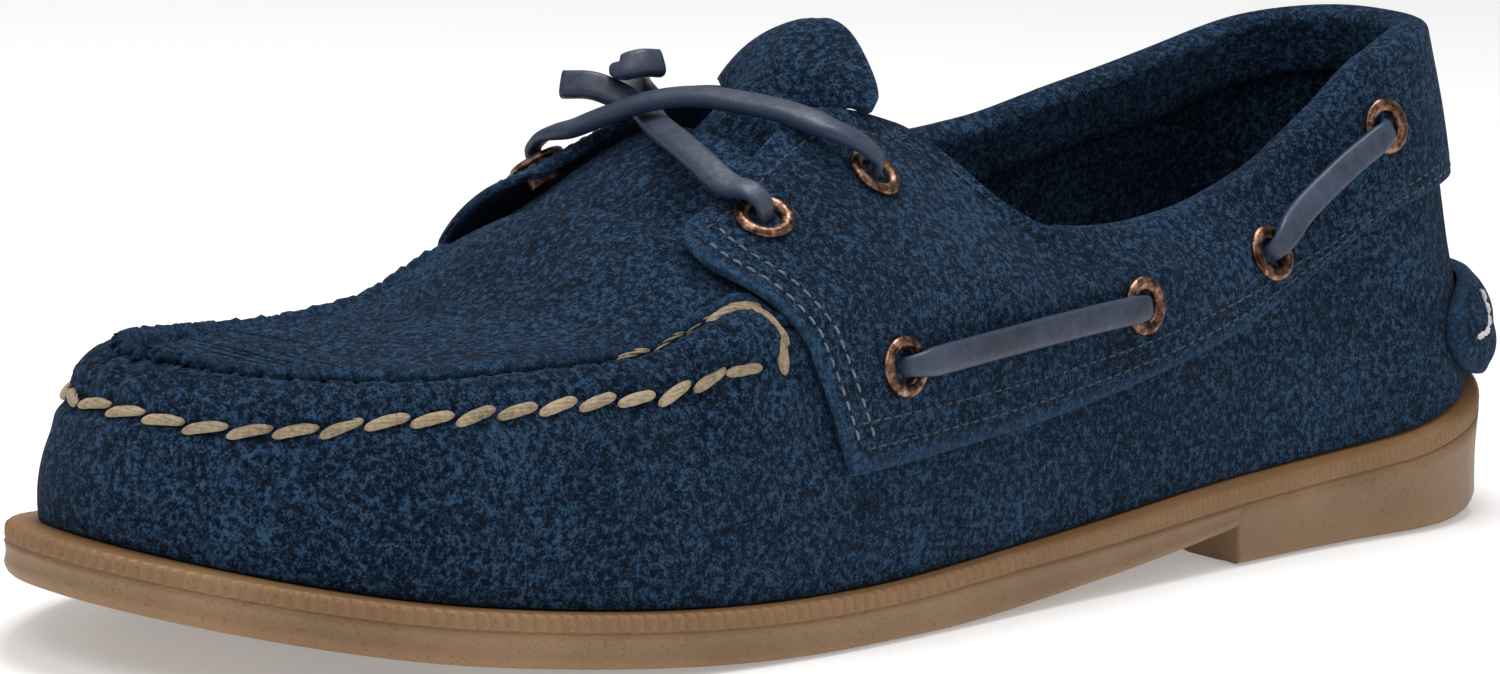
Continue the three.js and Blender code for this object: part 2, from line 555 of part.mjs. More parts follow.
function sheet(at, nu, nv, thick) {
  const skin = new Skin();
  const face = (off) => steps(nu, (u) => steps(nv, (v) => {
    const e = 1e-3, du = sub(at(Math.min(u + e, 1), v), at(Math.max(u - e, 0), v)), dv = sub(at(u, Math.min(v + e, 1)), at(u, Math.max(v - e, 0)));
    return add(at(u, v), unit(cross(du, dv)), off);
  }));
  const a = face(0), b = face(-thick);
  skin.grid(a); skin.grid(b, true);
  const first = (r) => r[0], last = (r) => r[r.length - 1];
  skin.grid([a.map(first), b.map(first)]);
  skin.grid([b.map(last), a.map(last)]);
  skin.grid([b[0], a[0]]);
  skin.grid([a[nu], b[nu]]);
  return skin;
}
const tongue = () => sheet((u, v) => tonguePoint(u * 0.985, 2 * v - 1), 12, 8, -TONGUE_THICK);

// Heel tab: a raised rounded patch over the back.
const TAB_SPAN = 0.56; // half its angle round the heel
function heelTab() {
  const at = (u, w, skin) => {
    const q = 2 * u - 1, a = wrap(Math.PI + TAB_SPAN * q * cap(1 - Math.abs(2 * w - 1) * 0.9, 2) ** 0.5);
    const z = lerp(TAB_LOW, TAB_HIGH, w), round = cap(1 - Math.abs(q) ** 3, 2);
    const puff = TAB_STAND * Math.sin(Math.PI * clamp(0.12 + 0.80 * w)) ** 0.8 * round;
    return onWall(a, wallAt(a, z), skin ? SURFACE + puff * 0.7 : GAP + FACET);
  };
  const skin = new Skin(), nu = 14, nw = 6;
  const out = steps(nu, (u) => steps(nw, (w) => at(u, w, true))), inn = steps(nu, (u) => steps(nw, (w) => at(u, w, false)));
  skin.grid(out); skin.grid(inn, true);
  const first = (r) => r[0], last = (r) => r[r.length - 1];
  skin.grid([out.map(first), inn.map(first)]);
  skin.grid([inn.map(last), out.map(last)]);
  skin.grid([inn[0], out[0]]);
  skin.grid([out[nu], inn[nu]]);
  return skin;
}

// Eyelets: a flange on the quarter and a barrel through its hole.
const seats = {
  // name: side, share of length, height of the centre / HEEL_HEIGHT
  throat_outer_lower: [1, 0.376, 0.75],
  throat_outer_upper: [1, 0.462, 0.8093],
  throat_inner_lower: [-1, 0.38, 0.7581],
  throat_inner_upper: [-1, 0.462, 0.8174],
  side_outer_1: [1, 0.4285, 0.5023],
  side_outer_2: [1, 0.6346, 0.543],
  side_outer_3: [1, 0.752, 0.5977],
  side_outer_4: [1, 0.872, 0.8256],
  side_inner_1: [-1, 0.4285, 0.5023],
  side_inner_2: [-1, 0.6346, 0.5512],
  side_inner_3: [-1, 0.752, 0.6337],
  side_inner_4: [-1, 0.872, 0.814],
};
function frameAt(side, s, z, off = SURFACE) {
  const a = angle(s, side), v = wallAt(a, z * HEEL_HEIGHT), n = wallNormal(a, v);
  return { origin: add(wall(a, v), n, off), n };
}
function basis(n) {
  const x = unit(cross([0, 0, 1], n));
  return [x, cross(n, x), n];
}
const place = (f, [r, c, h]) => {
  const [x, y, n] = basis(f.n);
  return add(add(add(f.origin, x, r * Math.cos(c)), y, r * Math.sin(c)), n, h);
};
const BARREL = EYELET_BORE / 2 + 0.5;
function eyelet(f) {
  const flange = EYELET_OUTER / 2, lift = GAP + 0.25, deep = -(OVERLAY + GAP + 1.6);
  const section = [
    [BARREL, deep], [BARREL, lift], [flange, lift + 0.1], [(flange + BARREL) / 2, lift + EYELET_FLANGE],
    [EYELET_BORE / 2 + 0.2, lift + 0.75], [EYELET_BORE / 2, deep],
  ];
  const n = 12;
  return tube(Array.from({ length: n }, (_, i) => section.map(([r, h]) => place(f, [r, (2 * Math.PI * i) / n, h]))), true);
}
function hole(f) {
  const n = 12, r = BARREL + GAP + 0.1;
  return tube([-9, 9].map((h) => Array.from({ length: n }, (_, i) => place(f, [r, (2 * Math.PI * i) / n, h])))).manifold();
}

// Laces.
// A flat lace along points; each row is point, outward direction, width and thickness.
function strap(rows) {
  return tube(rows.map(({ p, n, w, t }, i) => {
    const ahead = rows[Math.min(i + 1, rows.length - 1)].p, behind = rows[Math.max(i - 1, 0)].p;
    const dir = unit(sub(ahead, behind)), side = unit(cross(dir, n)), up = cross(side, dir);
    return [[-0.5, 0], [-0.34, 0.5], [0.34, 0.5], [0.5, 0], [0.34, -0.5], [-0.34, -0.5]]
      .map(([a, b]) => add(add(p, side, a * w), up, b * t));
  }));
}
// From one eyelet's bore, over its rim, along the quarter and into the next bore.
function sideLace(side, s0, z0, s1, z1) {
  const [f, g] = [frameAt(side, s0, z0), frameAt(side, s1, z1)];
  const span = Math.hypot(...sub(g.origin, f.origin));
  // along the run, off the quarter's face, width, thickness
  const end = [
    [0, -1.6, 0.68, 0.65], [0.1, 0.4, 0.70, 0.65], [0.7, 2.3, 0.72, 0.68], [2.2, 3.5, 0.8, 0.8],
    [4.4, 3.9, 1, 1], [7.5, 3.4, 1, 1],
  ].map(([d, h, w, t]) => [d * EYELET_OUTER / 10, h * EYELET_OUTER / 10, w * LACE_WIDTH, t * LACE_THICK]);
  const clear = end[end.length - 1][0];
  const rows = [];
  const at = (d, off, w, t) => {
    const k = d / span, s = lerp(s0, s1, k), z = lerp(z0, z1, k), q = frameAt(side, s, z, SURFACE + off);
    rows.push({ p: q.origin, n: q.n, w, t });
  };
  end.forEach(([d, off, w, t]) => at(d, off, w, t));
  for (let i = 1; i < 6; i++) {
    at(lerp(clear, span - clear, i / 6), LACE_THICK * (1.3 - 0.25 * Math.sin(Math.PI * i / 6)), LACE_WIDTH, LACE_THICK);
  }
  [...end].reverse().forEach(([d, off, w, t]) => at(span - d, off, w, t));
  return strap(rows);
}
// Out of a bore and over its rim, towards a point: along, off the quarter's face / EYELET_OUTER,
// width and thickness of the squeezed lace, and how far it has turned.
function rim(name, toward) {
  const [side, s, z] = seats[name], f = frameAt(side, s, z);
  const d = sub(toward, f.origin), t = unit(add(d, f.n, -dot(d, f.n)));
  return [[0, -0.14, 0.68, 0.66, 0], [0, 0.08, 0.68, 0.66, 0], [0.04, 0.27, 0.7, 0.68, 0.35], [0.30, 0.38, 0.8, 0.8, 1]]
    .map(([along, off, w, thick, turned]) => ({
      p: add(add(f.origin, t, along * EYELET_OUTER), f.n, off * EYELET_OUTER),
      n: unit(mix(t.map((v) => -v), f.n, turned)), w: w * LACE_WIDTH, t: thick * LACE_THICK,
    }));
}
// Over the throat a lace leaves one eyelet's bore, follows points chosen by hand, and either
// enters another bore or ends free.
const over = ([x, y, z]) => (
  { p: [x * HB, y * LENGTH, z * HEEL_HEIGHT], n: unit([0, -0.35, 0.94]), w: LACE_WIDTH, t: LACE_THICK });
function throatLace(from, points, to) {
  const rows = points.map(over);
  const last = to ? rim(to, rows[rows.length - 1].p).reverse() : [];
  return strap([...rim(from, rows[0].p), ...rows, ...last]);
}
// x / HB, y / LENGTH, z / HEEL_HEIGHT
const BAR = [
  [0.45, -0.0627, 0.9186],
  [0.313, -0.0712, 0.9384],
  [0.157, -0.0793, 0.9465],
  [0.0, -0.0895, 0.9488],
  [-0.157, -0.1024, 0.9302],
  [-0.274, -0.1125, 0.9],
  [-0.391, -0.1203, 0.8674],
];
const END_1 = [
  [0.479, -0.1336, 0.8256],
  [0.313, -0.1302, 0.8558],
  [0.176, -0.1247, 0.8767],
  [0.049, -0.1169, 0.886],
  [-0.059, -0.1068, 0.8872],
  [-0.157, -0.0966, 0.8872],
  [-0.254, -0.0915, 0.9047],
  [-0.333, -0.0983, 0.9279],
  [-0.401, -0.1078, 0.9442],
  [-0.489, -0.1169, 0.9419],
];
const END_2 = [
  [-0.489, -0.0627, 0.9302],
  [-0.411, -0.0773, 0.9605],
  [-0.352, -0.0898, 0.9721],
  [-0.313, -0.0983, 0.9837],
  [-0.28, -0.0915, 0.993],
  [-0.274, -0.078, 0.9907],
];

const pieces = {
  outsole: [outsole().manifold(), gum],
  insole: [insole().manifold(), bed],
  upper: [upper().manifold(), suede],
  quarter: [quarter().manifold(), suede],
  tongue: [tongue().manifold(), suede],
  heel_tab: [heelTab().manifold(), suede],
};
for (const [name, [side, s, z]] of Object.entries(seats)) {
  const f = frameAt(side, s, z);
  for (const body of ['upper', 'quarter']) pieces[body][0] = pieces[body][0].subtract(hole(f));
  pieces[`eyelet_${name}`] = [eyelet(f).manifold(), copper];
}
for (const side of [1, -1]) {
  const name = side > 0 ? 'outer' : 'inner';
  for (const [where, i, j] of [['front', 1, 2], ['rear', 3, 4]]) {
    const [, s0, z0] = seats[`side_${name}_${i}`], [, s1, z1] = seats[`side_${name}_${j}`];
    pieces[`side_lace_${name}_${where}`] = [sideLace(side, s0, z0, s1, z1).manifold(), lace];
  }
}
pieces.lace_bar = [throatLace('throat_outer_upper', BAR, 'throat_inner_lower').manifold(), lace];
pieces.lace_end_1 = [throatLace('throat_outer_lower', END_1).manifold(), lace];
pieces.lace_end_2 = [throatLace('throat_inner_upper', END_2).manifold(), lace];
for (const [name, [solid, material]] of Object.entries(pieces)) piece(name, solid, material);

export default shoe;
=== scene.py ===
# %% [markdown]
# A left boat shoe in navy suede, with a raised moccasin seam, a gum rubber sole and leather laces.
# Every surface of a shoe hangs on its last, the foot-shaped block that it is pulled over. So the
# shoe is described once, as an outline round the foot with an inset and a height at each place,
# and each piece is a grid whose points are laid on that description. It could be sculpted by eye,
# but then the pieces wouldn't stay a leather's thickness apart.

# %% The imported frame
import bpy
import numpy as np
from mathutils import Matrix, Vector


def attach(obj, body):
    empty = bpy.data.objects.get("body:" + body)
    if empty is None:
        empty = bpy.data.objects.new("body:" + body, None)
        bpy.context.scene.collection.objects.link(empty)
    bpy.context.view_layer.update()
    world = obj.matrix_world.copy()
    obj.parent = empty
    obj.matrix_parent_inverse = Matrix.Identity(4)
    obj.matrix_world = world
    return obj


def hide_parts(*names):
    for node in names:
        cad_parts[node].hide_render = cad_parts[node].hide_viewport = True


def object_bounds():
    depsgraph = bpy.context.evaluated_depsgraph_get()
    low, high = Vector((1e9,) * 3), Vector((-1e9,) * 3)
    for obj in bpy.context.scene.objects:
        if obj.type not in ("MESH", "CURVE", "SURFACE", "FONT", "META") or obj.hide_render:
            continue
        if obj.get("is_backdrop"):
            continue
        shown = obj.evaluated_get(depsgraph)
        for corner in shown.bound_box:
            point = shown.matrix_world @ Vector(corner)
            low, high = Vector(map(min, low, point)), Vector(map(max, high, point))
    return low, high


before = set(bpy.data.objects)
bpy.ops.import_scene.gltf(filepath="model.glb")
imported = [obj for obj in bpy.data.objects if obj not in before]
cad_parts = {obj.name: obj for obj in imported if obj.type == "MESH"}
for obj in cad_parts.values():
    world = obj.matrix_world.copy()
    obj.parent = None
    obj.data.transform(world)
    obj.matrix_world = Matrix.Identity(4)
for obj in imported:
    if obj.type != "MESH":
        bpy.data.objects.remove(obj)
cad_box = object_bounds()
MM = 0.001
print("nodes:", len(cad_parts), "box in mm:", [[round(c / MM) for c in p] for p in cad_box])

# %% [markdown]
# The camera stands where the photographer stood: in front, on the outer side, a little above the
# shoe, with a long lens. The three directions of its frame are worked out from those angles.

# %% Camera
AZIMUTH, ELEVATION, ROLL = np.radians([49.23, 10.01, 1.95])
DISTANCE, LENS = 982.98, 140.59
LOOK_AT = np.array([-9.33, -5.28, 38.44])
reach = np.cos(ELEVATION)
back = np.array([np.sin(AZIMUTH) * reach, -np.cos(AZIMUTH) * reach, np.sin(ELEVATION)])
level = np.array([np.cos(AZIMUTH), np.sin(AZIMUTH), 0.0])
above = np.cross(back, level)
right = np.cos(ROLL) * level + np.sin(ROLL) * above
top = np.cos(ROLL) * above - np.sin(ROLL) * level
bpy.ops.object.camera_add()
camera = bpy.context.object
camera.name = "camera"
camera.data.sensor_width, camera.data.lens = 36, LENS
camera.matrix_world = Matrix.Translation(Vector((LOOK_AT + back * DISTANCE) * MM)) @ Matrix(
    np.stack([right, top, back], 1).tolist()).to_4x4()
bpy.context.scene.camera = camera
print("camera at", [round(c, 3) for c in camera.location])

# %% [markdown]
# A pale floor and soft light, as in a product photograph. The strongest lamp hangs over the shoe. One
# high up at the camera's left draws the nap of the suede, and two weaker ones stand at the outer side
# and at the inner side of the toe.

# %% Floor and lights
def set_sockets(node, values):
    for socket, value in values.items():
        node.inputs[socket].default_value = value

def area_lamp(name, place, size, power):
    bpy.ops.object.light_add(type="AREA", location=place)
    lamp = bpy.context.object
    lamp.name, lamp.data.size, lamp.data.energy = name, size, power
    lamp.rotation_euler = (Vector((0, 0, 0.04)) - lamp.location).to_track_quat("-Z", "Y").to_euler()

bpy.ops.mesh.primitive_plane_add(size=6, location=(0, 0, -0.0004))
floor = bpy.context.object
floor.name = "floor"
floor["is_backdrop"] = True
pale = bpy.data.materials.new("pale_floor")
pale.use_nodes = True
set_sockets(pale.node_tree.nodes["Principled BSDF"], {
    "Base Color": (0.86, 0.86, 0.86, 1), "Roughness": 0.9,
    "Emission Color": (1, 1, 1, 1), "Emission Strength": 0.28,
})
floor.data.materials.append(pale)
area_lamp("key", (0.35, -0.75, 1.05), 0.6, 4.0)
area_lamp("side", (1.1, 0.25, 0.75), 0.8, 1.8)
area_lamp("fill", (-0.7, -0.9, 0.6), 0.8, 1.1)
area_lamp("over", (-0.1, 0.15, 1.25), 0.6, 10.2)
world = bpy.data.worlds.new("studio")
bpy.context.scene.world = world
world.use_nodes = True
set_sockets(world.node_tree.nodes["Background"], {"Color": (1, 1, 1, 1), "Strength": 0.30})
bpy.context.scene.view_settings.view_transform = "Standard"

# %% [markdown]
# The last is described in millimetres with the same sizes as the solid model. A short table gives
# shares of a named size at shares of the length, and a smooth curve runs through its rows.

# %% Sizes
LENGTH, BALL_WIDTH, TOE_BEND, TOE_SPRING = 295, 102.2, 9, 11.6
FOREFOOT_THICK, ARCH_HEIGHT, SEAM_HEIGHT, HEEL_HEIGHT, TONGUE_RISE = 8.6, 6.5, 42, 86, 7
WALL, OVERLAY, LINING, GAP, FACET = 2.2, 1.6, 1.2, 0.3, 0.35
ROLL_DEPTH, RIM_HEIGHT, RIM_STEP, LEDGE = 10, 2.3, 0.5, 7.0
EYELET_OUTER, EYELET_BORE, LACE_WIDTH, LACE_THICK = 10, 5.2, 4.8, 2.4
HALF, HB, INSTEP_HEIGHT = LENGTH / 2, BALL_WIDTH / 2, HEEL_HEIGHT + TONGUE_RISE
SURFACE = GAP + FACET + OVERLAY

# %% Curves through tables
def lerp(a, b, t):
    return a + (b - a) * t

def smooth(a, b, v):
    t = np.clip((v - a) / (b - a), 0, 1)
    return t * t * (3 - 2 * t)

def unit(p):
    return p / np.maximum(np.linalg.norm(p, axis=-1, keepdims=True), 1e-12)

def run_along(points):
    """The length along a line up to each of its points."""
    return np.concatenate([[0], np.cumsum(np.linalg.norm(np.diff(points, axis=0), axis=1))])

def curve(rows, column=1):
    """A smooth curve through a table, that never overshoots its rows."""
    x, y = np.array([[r[0], r[column]] for r in rows], float).T
    h = np.diff(x)
    d = np.diff(y) / h
    m = np.concatenate([d[:1], np.zeros(len(d) - 1), d[-1:]])
    for i in range(1, len(d)):
        if d[i - 1] * d[i] > 0:
            p, q = 2 * h[i] + h[i - 1], h[i] + 2 * h[i - 1]
            m[i] = (p + q) / (p / d[i - 1] + q / d[i])

    def at(v):
        v = np.clip(v, x[0], x[-1])
        i = np.clip(np.searchsorted(x, v, side="right") - 1, 0, len(x) - 2)
        t = (v - x[i]) / h[i]
        return (y[i] * (2 * t**3 - 3 * t**2 + 1) + h[i] * m[i] * (t**3 - 2 * t**2 + t)
                + y[i + 1] * (3 * t**2 - 2 * t**3) + h[i] * m[i + 1] * (t**3 - t**2))
    return at

def scaled(sizes, rows):
    """One curve a column, each a share of its own size."""
    def column(i, size):
        at = curve(rows, i)
        return lambda v: at(v) * size
    return [column(i + 1, size) for i, size in enumerate(sizes)]

# %% Outline of the foot
outer_half, inner_half = scaled([HB, HB], [
    # share of length, outer and inner half width
    [0.00, 0.738, 0.675], [0.16, 0.913, 0.933], [0.34, 1.000, 1.000],
    [0.60, 0.838, 0.725], [0.86, 0.688, 0.688], [1.00, 0.688, 0.688],
])

def cap(t, n):
    return (1 - (1 - np.clip(t, 0, 1)) ** n) ** (1 / n)

def share(a):
    return (1 - np.cos(a)) / 2

def angle(s, side=1):
    return side * np.arccos(1 - 2 * np.clip(s, 0, 1))

def wrap(a):
    a = np.asarray(a, float)
    return np.where(a > np.pi, a - 2 * np.pi, np.where(a < -np.pi, a + 2 * np.pi, a))

# share of length over which the outline closes, and how square it is there
TOE_CAP, HEEL_CAP = (0.16, 2.2), (0.13, 2.3)

def plan(a, inset):
    """x and y on the outline at an angle, 0 at the toe and pi at the heel, moved in by an inset."""
    s = share(a)
    half = np.where(a >= 0, outer_half(s), inner_half(s)) - inset
    closing = cap(s / TOE_CAP[0], TOE_CAP[1])
    x = np.where(a >= 0, 1, -1) * half * closing * cap((1 - s) / HEEL_CAP[0], HEEL_CAP[1])
    lean = np.clip(1 - s / 0.30, 0, 1) ** 2 - np.clip(1 - (1 - s) / 0.26, 0, 1) ** 2
    return x - TOE_BEND * np.clip(1 - s / 0.34, 0, 1) ** 2, -HALF + LENGTH * s + inset * lean

# %% Heights of the sole
def spring(s):
    return TOE_SPRING * np.clip(1 - s / 0.38, 0, 1) ** 1.93

def sole_bottom(s):
    return spring(s) + np.where(s < 0.722, ARCH_HEIGHT * np.clip((s - 0.46) / 0.262, 0, 1) ** 1.5, 0)

ledge_over, seat_over = scaled([FOREFOOT_THICK, FOREFOOT_THICK], [
    # share of length, ledge and footbed over the spring line
    [0.00, 1.000, 0.826], [0.40, 1.000, 0.826], [0.55, 1.233, 1.000], [0.70, 1.628, 1.395],
    [0.87, 1.977, 1.628], [0.94, 2.372, 1.674], [1.00, 3.023, 1.744],
])
edge_fillet, = scaled([FOREFOOT_THICK], [[0, 0.256], [0.3, 0.14], [0.72, 0.14], [0.88, 0.233], [1, 0.465]])

def sole_edge(s):
    return spring(s) + ledge_over(s)

def sole_seat(s):
    return spring(s) + seat_over(s)

# %% [markdown]
# The wall of the shoe is a bent line at each place round the foot. It starts at the feather edge on
# the sole, passes the stitch line of the moccasin seam and ends at the top line of the opening. Each
# half is a Bezier curve, so the bulge of the toe and the pull over the instep are two handles.

# %% The wall
inset_f, bulge_f, bulge_q, inset_q, rise_outer = scaled([HB, HB, HB, HB, SEAM_HEIGHT], [
    # share of length, inset of the feather edge, the two handles' bulge, the stitch line's inset and height
    [0.0, 0.1018, 0.0235, 0.0978, 0.225, 1.0],
    [0.06, 0.0978, 0.0254, 0.0783, 0.1918, 0.985],
    [0.13, 0.0861, 0.0294, 0.0705, 0.1644, 0.99],
    [0.2, 0.0724, 0.0333, 0.0705, 0.1487, 1.01],
    [0.27, 0.0646, 0.0352, 0.0744, 0.1526, 1.035],
    [0.345, 0.0646, 0.0372, 0.0744, 0.1566, 1.195],
    [0.43, 0.0646, 0.0372, 0.0548, 0.135, 1.19],
    [0.63, 0.0646, 0.0196, 0.0352, 0.1233, 1.167],
    [0.76, 0.0626, 0.0117, 0.0235, 0.1096, 1.19],
    [0.87, 0.0587, 0.0078, 0.0176, 0.1135, 1.215],
    [1.0, 0.047, 0.0059, 0.0274, 0.1585, 1.215],
])
rise_inner, = scaled([SEAM_HEIGHT], [
    [0.0, 1.0], [0.06, 0.97], [0.13, 0.925], [0.2, 0.905], [0.27, 0.945], [0.345, 1.13],
    [0.43, 1.19], [0.63, 1.167], [0.76, 1.19], [0.87, 1.215], [1.0, 1.215],
])
inset_g, pull_k, pull_z = scaled([HB, HB, SEAM_HEIGHT], [
    # share of length, inset of the top line, and how far out and down its handle stands
    [0.3, 0.499, 0.1761, 0.0762],
    [0.36, 0.5675, 0.2153, 0.0619],
    [0.455, 0.6732, 0.2153, 0.2143],
    [0.51, 0.6184, 0.1859, 0.25],
    [0.54, 0.5147, 0.137, 0.2381],
    [0.565, 0.3757, 0.0783, 0.1905],
    [0.59, 0.2818, 0.0431, 0.0952],
    [0.65, 0.2622, 0.0352, 0.0857],
    [0.76, 0.2524, 0.0313, 0.1429],
    [0.87, 0.2329, 0.0274, 0.2143],
    [1.0, 0.2935, 0.0431, 0.2143],
])
top_outer, = scaled([HEEL_HEIGHT], [
    [0.30, 0.700], [0.36, 0.765], [0.455, 0.918], [0.51, 0.880], [0.54, 0.815], [0.565, 0.733],
    [0.59, 0.680], [0.64, 0.668], [0.69, 0.680], [0.76, 0.738], [0.82, 0.845], [0.87, 0.950],
    [0.93, 1.000], [1.00, 1.000],
])
top_inner, = scaled([HEEL_HEIGHT], [
    [0.30, 0.700], [0.36, 0.765], [0.455, 0.918], [0.51, 0.885], [0.54, 0.840], [0.565, 0.790],
    [0.59, 0.765], [0.64, 0.765], [0.69, 0.785], [0.76, 0.845], [0.82, 0.890], [0.87, 0.925],
    [0.93, 0.968], [1.00, 1.000],
])
far_bulge = curve([[0, 1], [0.2, 0.85], [0.33, 0.6], [0.42, 0.7], [0.6, 1], [1, 1]])

def height_q(s, outer):
    return np.where(outer, rise_outer(s), rise_inner(s))

def bezier(p, t):
    u = 1 - t
    weights = (u**3, 3 * u * u * t, 3 * u * t * t, t**3)
    return [sum(weight * point[i] for weight, point in zip(weights, p)) for i in (0, 1)]

def wall(a, v):
    """Points of the wall: v from 0 to 1 below the stitch line, 1 to 2 above it."""
    a, v = np.broadcast_arrays(wrap(a), np.asarray(v, float))
    s, outer = share(a), a >= 0
    f, q = (inset_f(s), sole_edge(s) + GAP), (inset_q(s), height_q(s, outer))
    h = q[1] - f[1]
    c = (q[0] - bulge_q(s) * np.where(outer, 1, far_bulge(s)), q[1] - 0.30 * h)
    narrower = np.where(outer, 0, outer_half(s) - inner_half(s))
    g = (inset_g(s) - narrower, np.where(outer, top_outer(s), top_inner(s)))
    r = 0.9 * (g[1] - q[1]) / h
    low = bezier((f, (f[0] - bulge_f(s), f[1] + 0.33 * h), c, q), np.minimum(v, 1))
    onward = (q[0] + (q[0] - c[0]) * r, q[1] + (q[1] - c[1]) * r)
    high = bezier((q, onward, (g[0] - pull_k(s), g[1] - pull_z(s)), g), np.maximum(v - 1, 0))
    x, y = plan(a, np.where(v <= 1, low[0], high[0]))
    return np.stack([x, y, np.where(v <= 1, low[1], high[1])], -1)

def wall_normal(a, v):
    e = 2e-3
    low = np.where(v < 1, np.maximum(v - e, 0), v - e)
    return unit(np.cross(wall(a + e, v) - wall(a - e, v), wall(a, v + e) - wall(a, low)))

def on_wall(a, v, off):
    a, v, off = np.broadcast_arrays(a, v, off)
    return wall(a, v) + wall_normal(a, v) * off[..., None]

def wall_at(a, z):
    """v at which the wall reaches a height."""
    a, z = np.broadcast_arrays(np.asarray(a, float), z)
    high = np.where(z > wall(a, 1.0)[..., 2], 2.0, 1.0)
    low = high - 1
    for _ in range(26):
        mid = (low + high) / 2
        below = wall(a, mid)[..., 2] < z
        low, high = np.where(below, mid, low), np.where(below, high, mid)
    return (low + high) / 2

print("wall over the ball, outer side:", wall(angle(0.34), np.array([0, 1, 2.0])).round(1).tolist())

# %% [markdown]
# Three helpers do the modelling. One adds a grid primitive and lays its points in rows, with a value
# at each point for the materials to read, such as how near it is to a cut edge. One joins parts and
# merges the points that meet, and one gives a piece its material and its nodes.

# %% Modelling helpers
def only(obj):
    bpy.ops.object.select_all(action="DESELECT")
    obj.select_set(True)
    bpy.context.view_layer.objects.active = obj

def grid(name, rows, values=None):
    """A grid primitive whose points are laid in rows, in mm, with named values at the points."""
    n, m = rows.shape[:2]
    bpy.ops.mesh.primitive_grid_add(x_subdivisions=m - 1, y_subdivisions=n - 1, size=1)
    obj = bpy.context.object
    obj.name = name
    obj.data.vertices.foreach_set("co", (rows * MM).reshape(-1).astype(np.float32))
    for key, value in (values or {}).items():
        put = obj.data.attributes.new(key, "FLOAT", "POINT")
        put.data.foreach_set("value", np.broadcast_to(value, (n, m)).reshape(-1).astype(np.float32))
    obj.data.update()
    return obj

def join(name, parts, merge=2e-6, recalc=False):
    """Parts made one object, with their shared points merged."""
    only(parts[0])
    for part in parts[1:]:
        part.select_set(True)
    if len(parts) > 1:
        bpy.ops.object.join()
    obj = bpy.context.object
    obj.name = obj.data.name = name
    bpy.ops.object.mode_set(mode="EDIT")
    bpy.ops.mesh.select_all(action="SELECT")
    bpy.ops.mesh.remove_doubles(threshold=merge)
    bpy.ops.mesh.dissolve_degenerate(threshold=merge / 4)
    if recalc:
        bpy.ops.mesh.normals_make_consistent(inside=False)
    bpy.ops.object.mode_set(mode="OBJECT")
    bpy.ops.object.shade_smooth()
    return obj

def finish_piece(obj, material, slot, *nodes):
    """The piece's material, its slot, which is not used, and the nodes that it stands for."""
    if material:
        obj.data.materials.clear()
        obj.data.materials.append(material)
    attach(obj, "root")
    if nodes:
        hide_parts(*nodes)
    print(obj.name, len(obj.data.polygons), "faces")
    return obj

# %% [markdown]
# Suede is leather with its flesh side brushed up. It reads as a dark ground with lighter clumps
# where the nap lies the other way, a fine grain, and a pale fuzz along every cut edge. Noise at
# three sizes gives slow patches, the clumps and the grain. The last two also drive the bump, and a
# little sheen stands for the fibres.
# A picture of suede would be quicker, but it would show its edges and stretch on the toe.

# %% Material helper
def material(name, roughness, metallic=0.0):
    made = bpy.data.materials.new(name)
    made.use_nodes = True
    tree = made.node_tree
    shader = tree.nodes["Principled BSDF"]
    set_sockets(shader, {"Roughness": roughness, "Metallic": metallic})
    where = tree.nodes.new("ShaderNodeTexCoord").outputs["Object"]
    return made, tree, shader, where

def noise(tree, where, scale, detail=3, rough=0.6):
    node = tree.nodes.new("ShaderNodeTexNoise")
    set_sockets(node, {"Scale": scale, "Detail": detail, "Roughness": rough})
    tree.links.new(where, node.inputs["Vector"])
    return node.outputs["Fac"]

def ramp(tree, fac, stops):
    node = tree.nodes.new("ShaderNodeValToRGB")
    bar = node.color_ramp.elements
    while len(bar) < len(stops):
        bar.new(0.5)
    for element, (at, colour) in zip(bar, stops):
        element.position, element.color = at, (*colour, 1)
    tree.links.new(fac, node.inputs["Fac"])
    return node.outputs["Color"]

def blend(tree, fac, a, b, kind="MIX"):
    node = tree.nodes.new("ShaderNodeMix")
    node.data_type, node.blend_type = "RGBA", kind
    for socket, value in ((node.inputs["Factor"], fac), (node.inputs["A"], a), (node.inputs["B"], b)):
        if isinstance(value, bpy.types.NodeSocket):
            tree.links.new(value, socket)
        else:
            socket.default_value = (*value, 1) if isinstance(value, tuple) else value
    return node.outputs["Result"]

def maths(tree, kind, a, b):
    node = tree.nodes.new("ShaderNodeMath")
    node.operation = kind
    for socket, value in zip(node.inputs, (a, b)):
        if isinstance(value, bpy.types.NodeSocket):
            tree.links.new(value, socket)
        else:
            socket.default_value = value
    return node.outputs["Value"]

def weigh(tree, *terms):
    """The sum of values, each times its weight."""
    total, *others = [maths(tree, "MULTIPLY", value, weight) for value, weight in terms]
    for other in others:
        total = maths(tree, "ADD", total, other)
    return total

def attribute(tree, name):
    node = tree.nodes.new("ShaderNodeAttribute")
    node.attribute_name = name
    return node.outputs["Fac"]

def bump(tree, shader, height, distance, strength=1.0):
    node = tree.nodes.new("ShaderNodeBump")
    set_sockets(node, {"Distance": distance, "Strength": strength})
    tree.links.new(height, node.inputs["Height"])
    tree.links.new(node.outputs["Normal"], shader.inputs["Normal"])

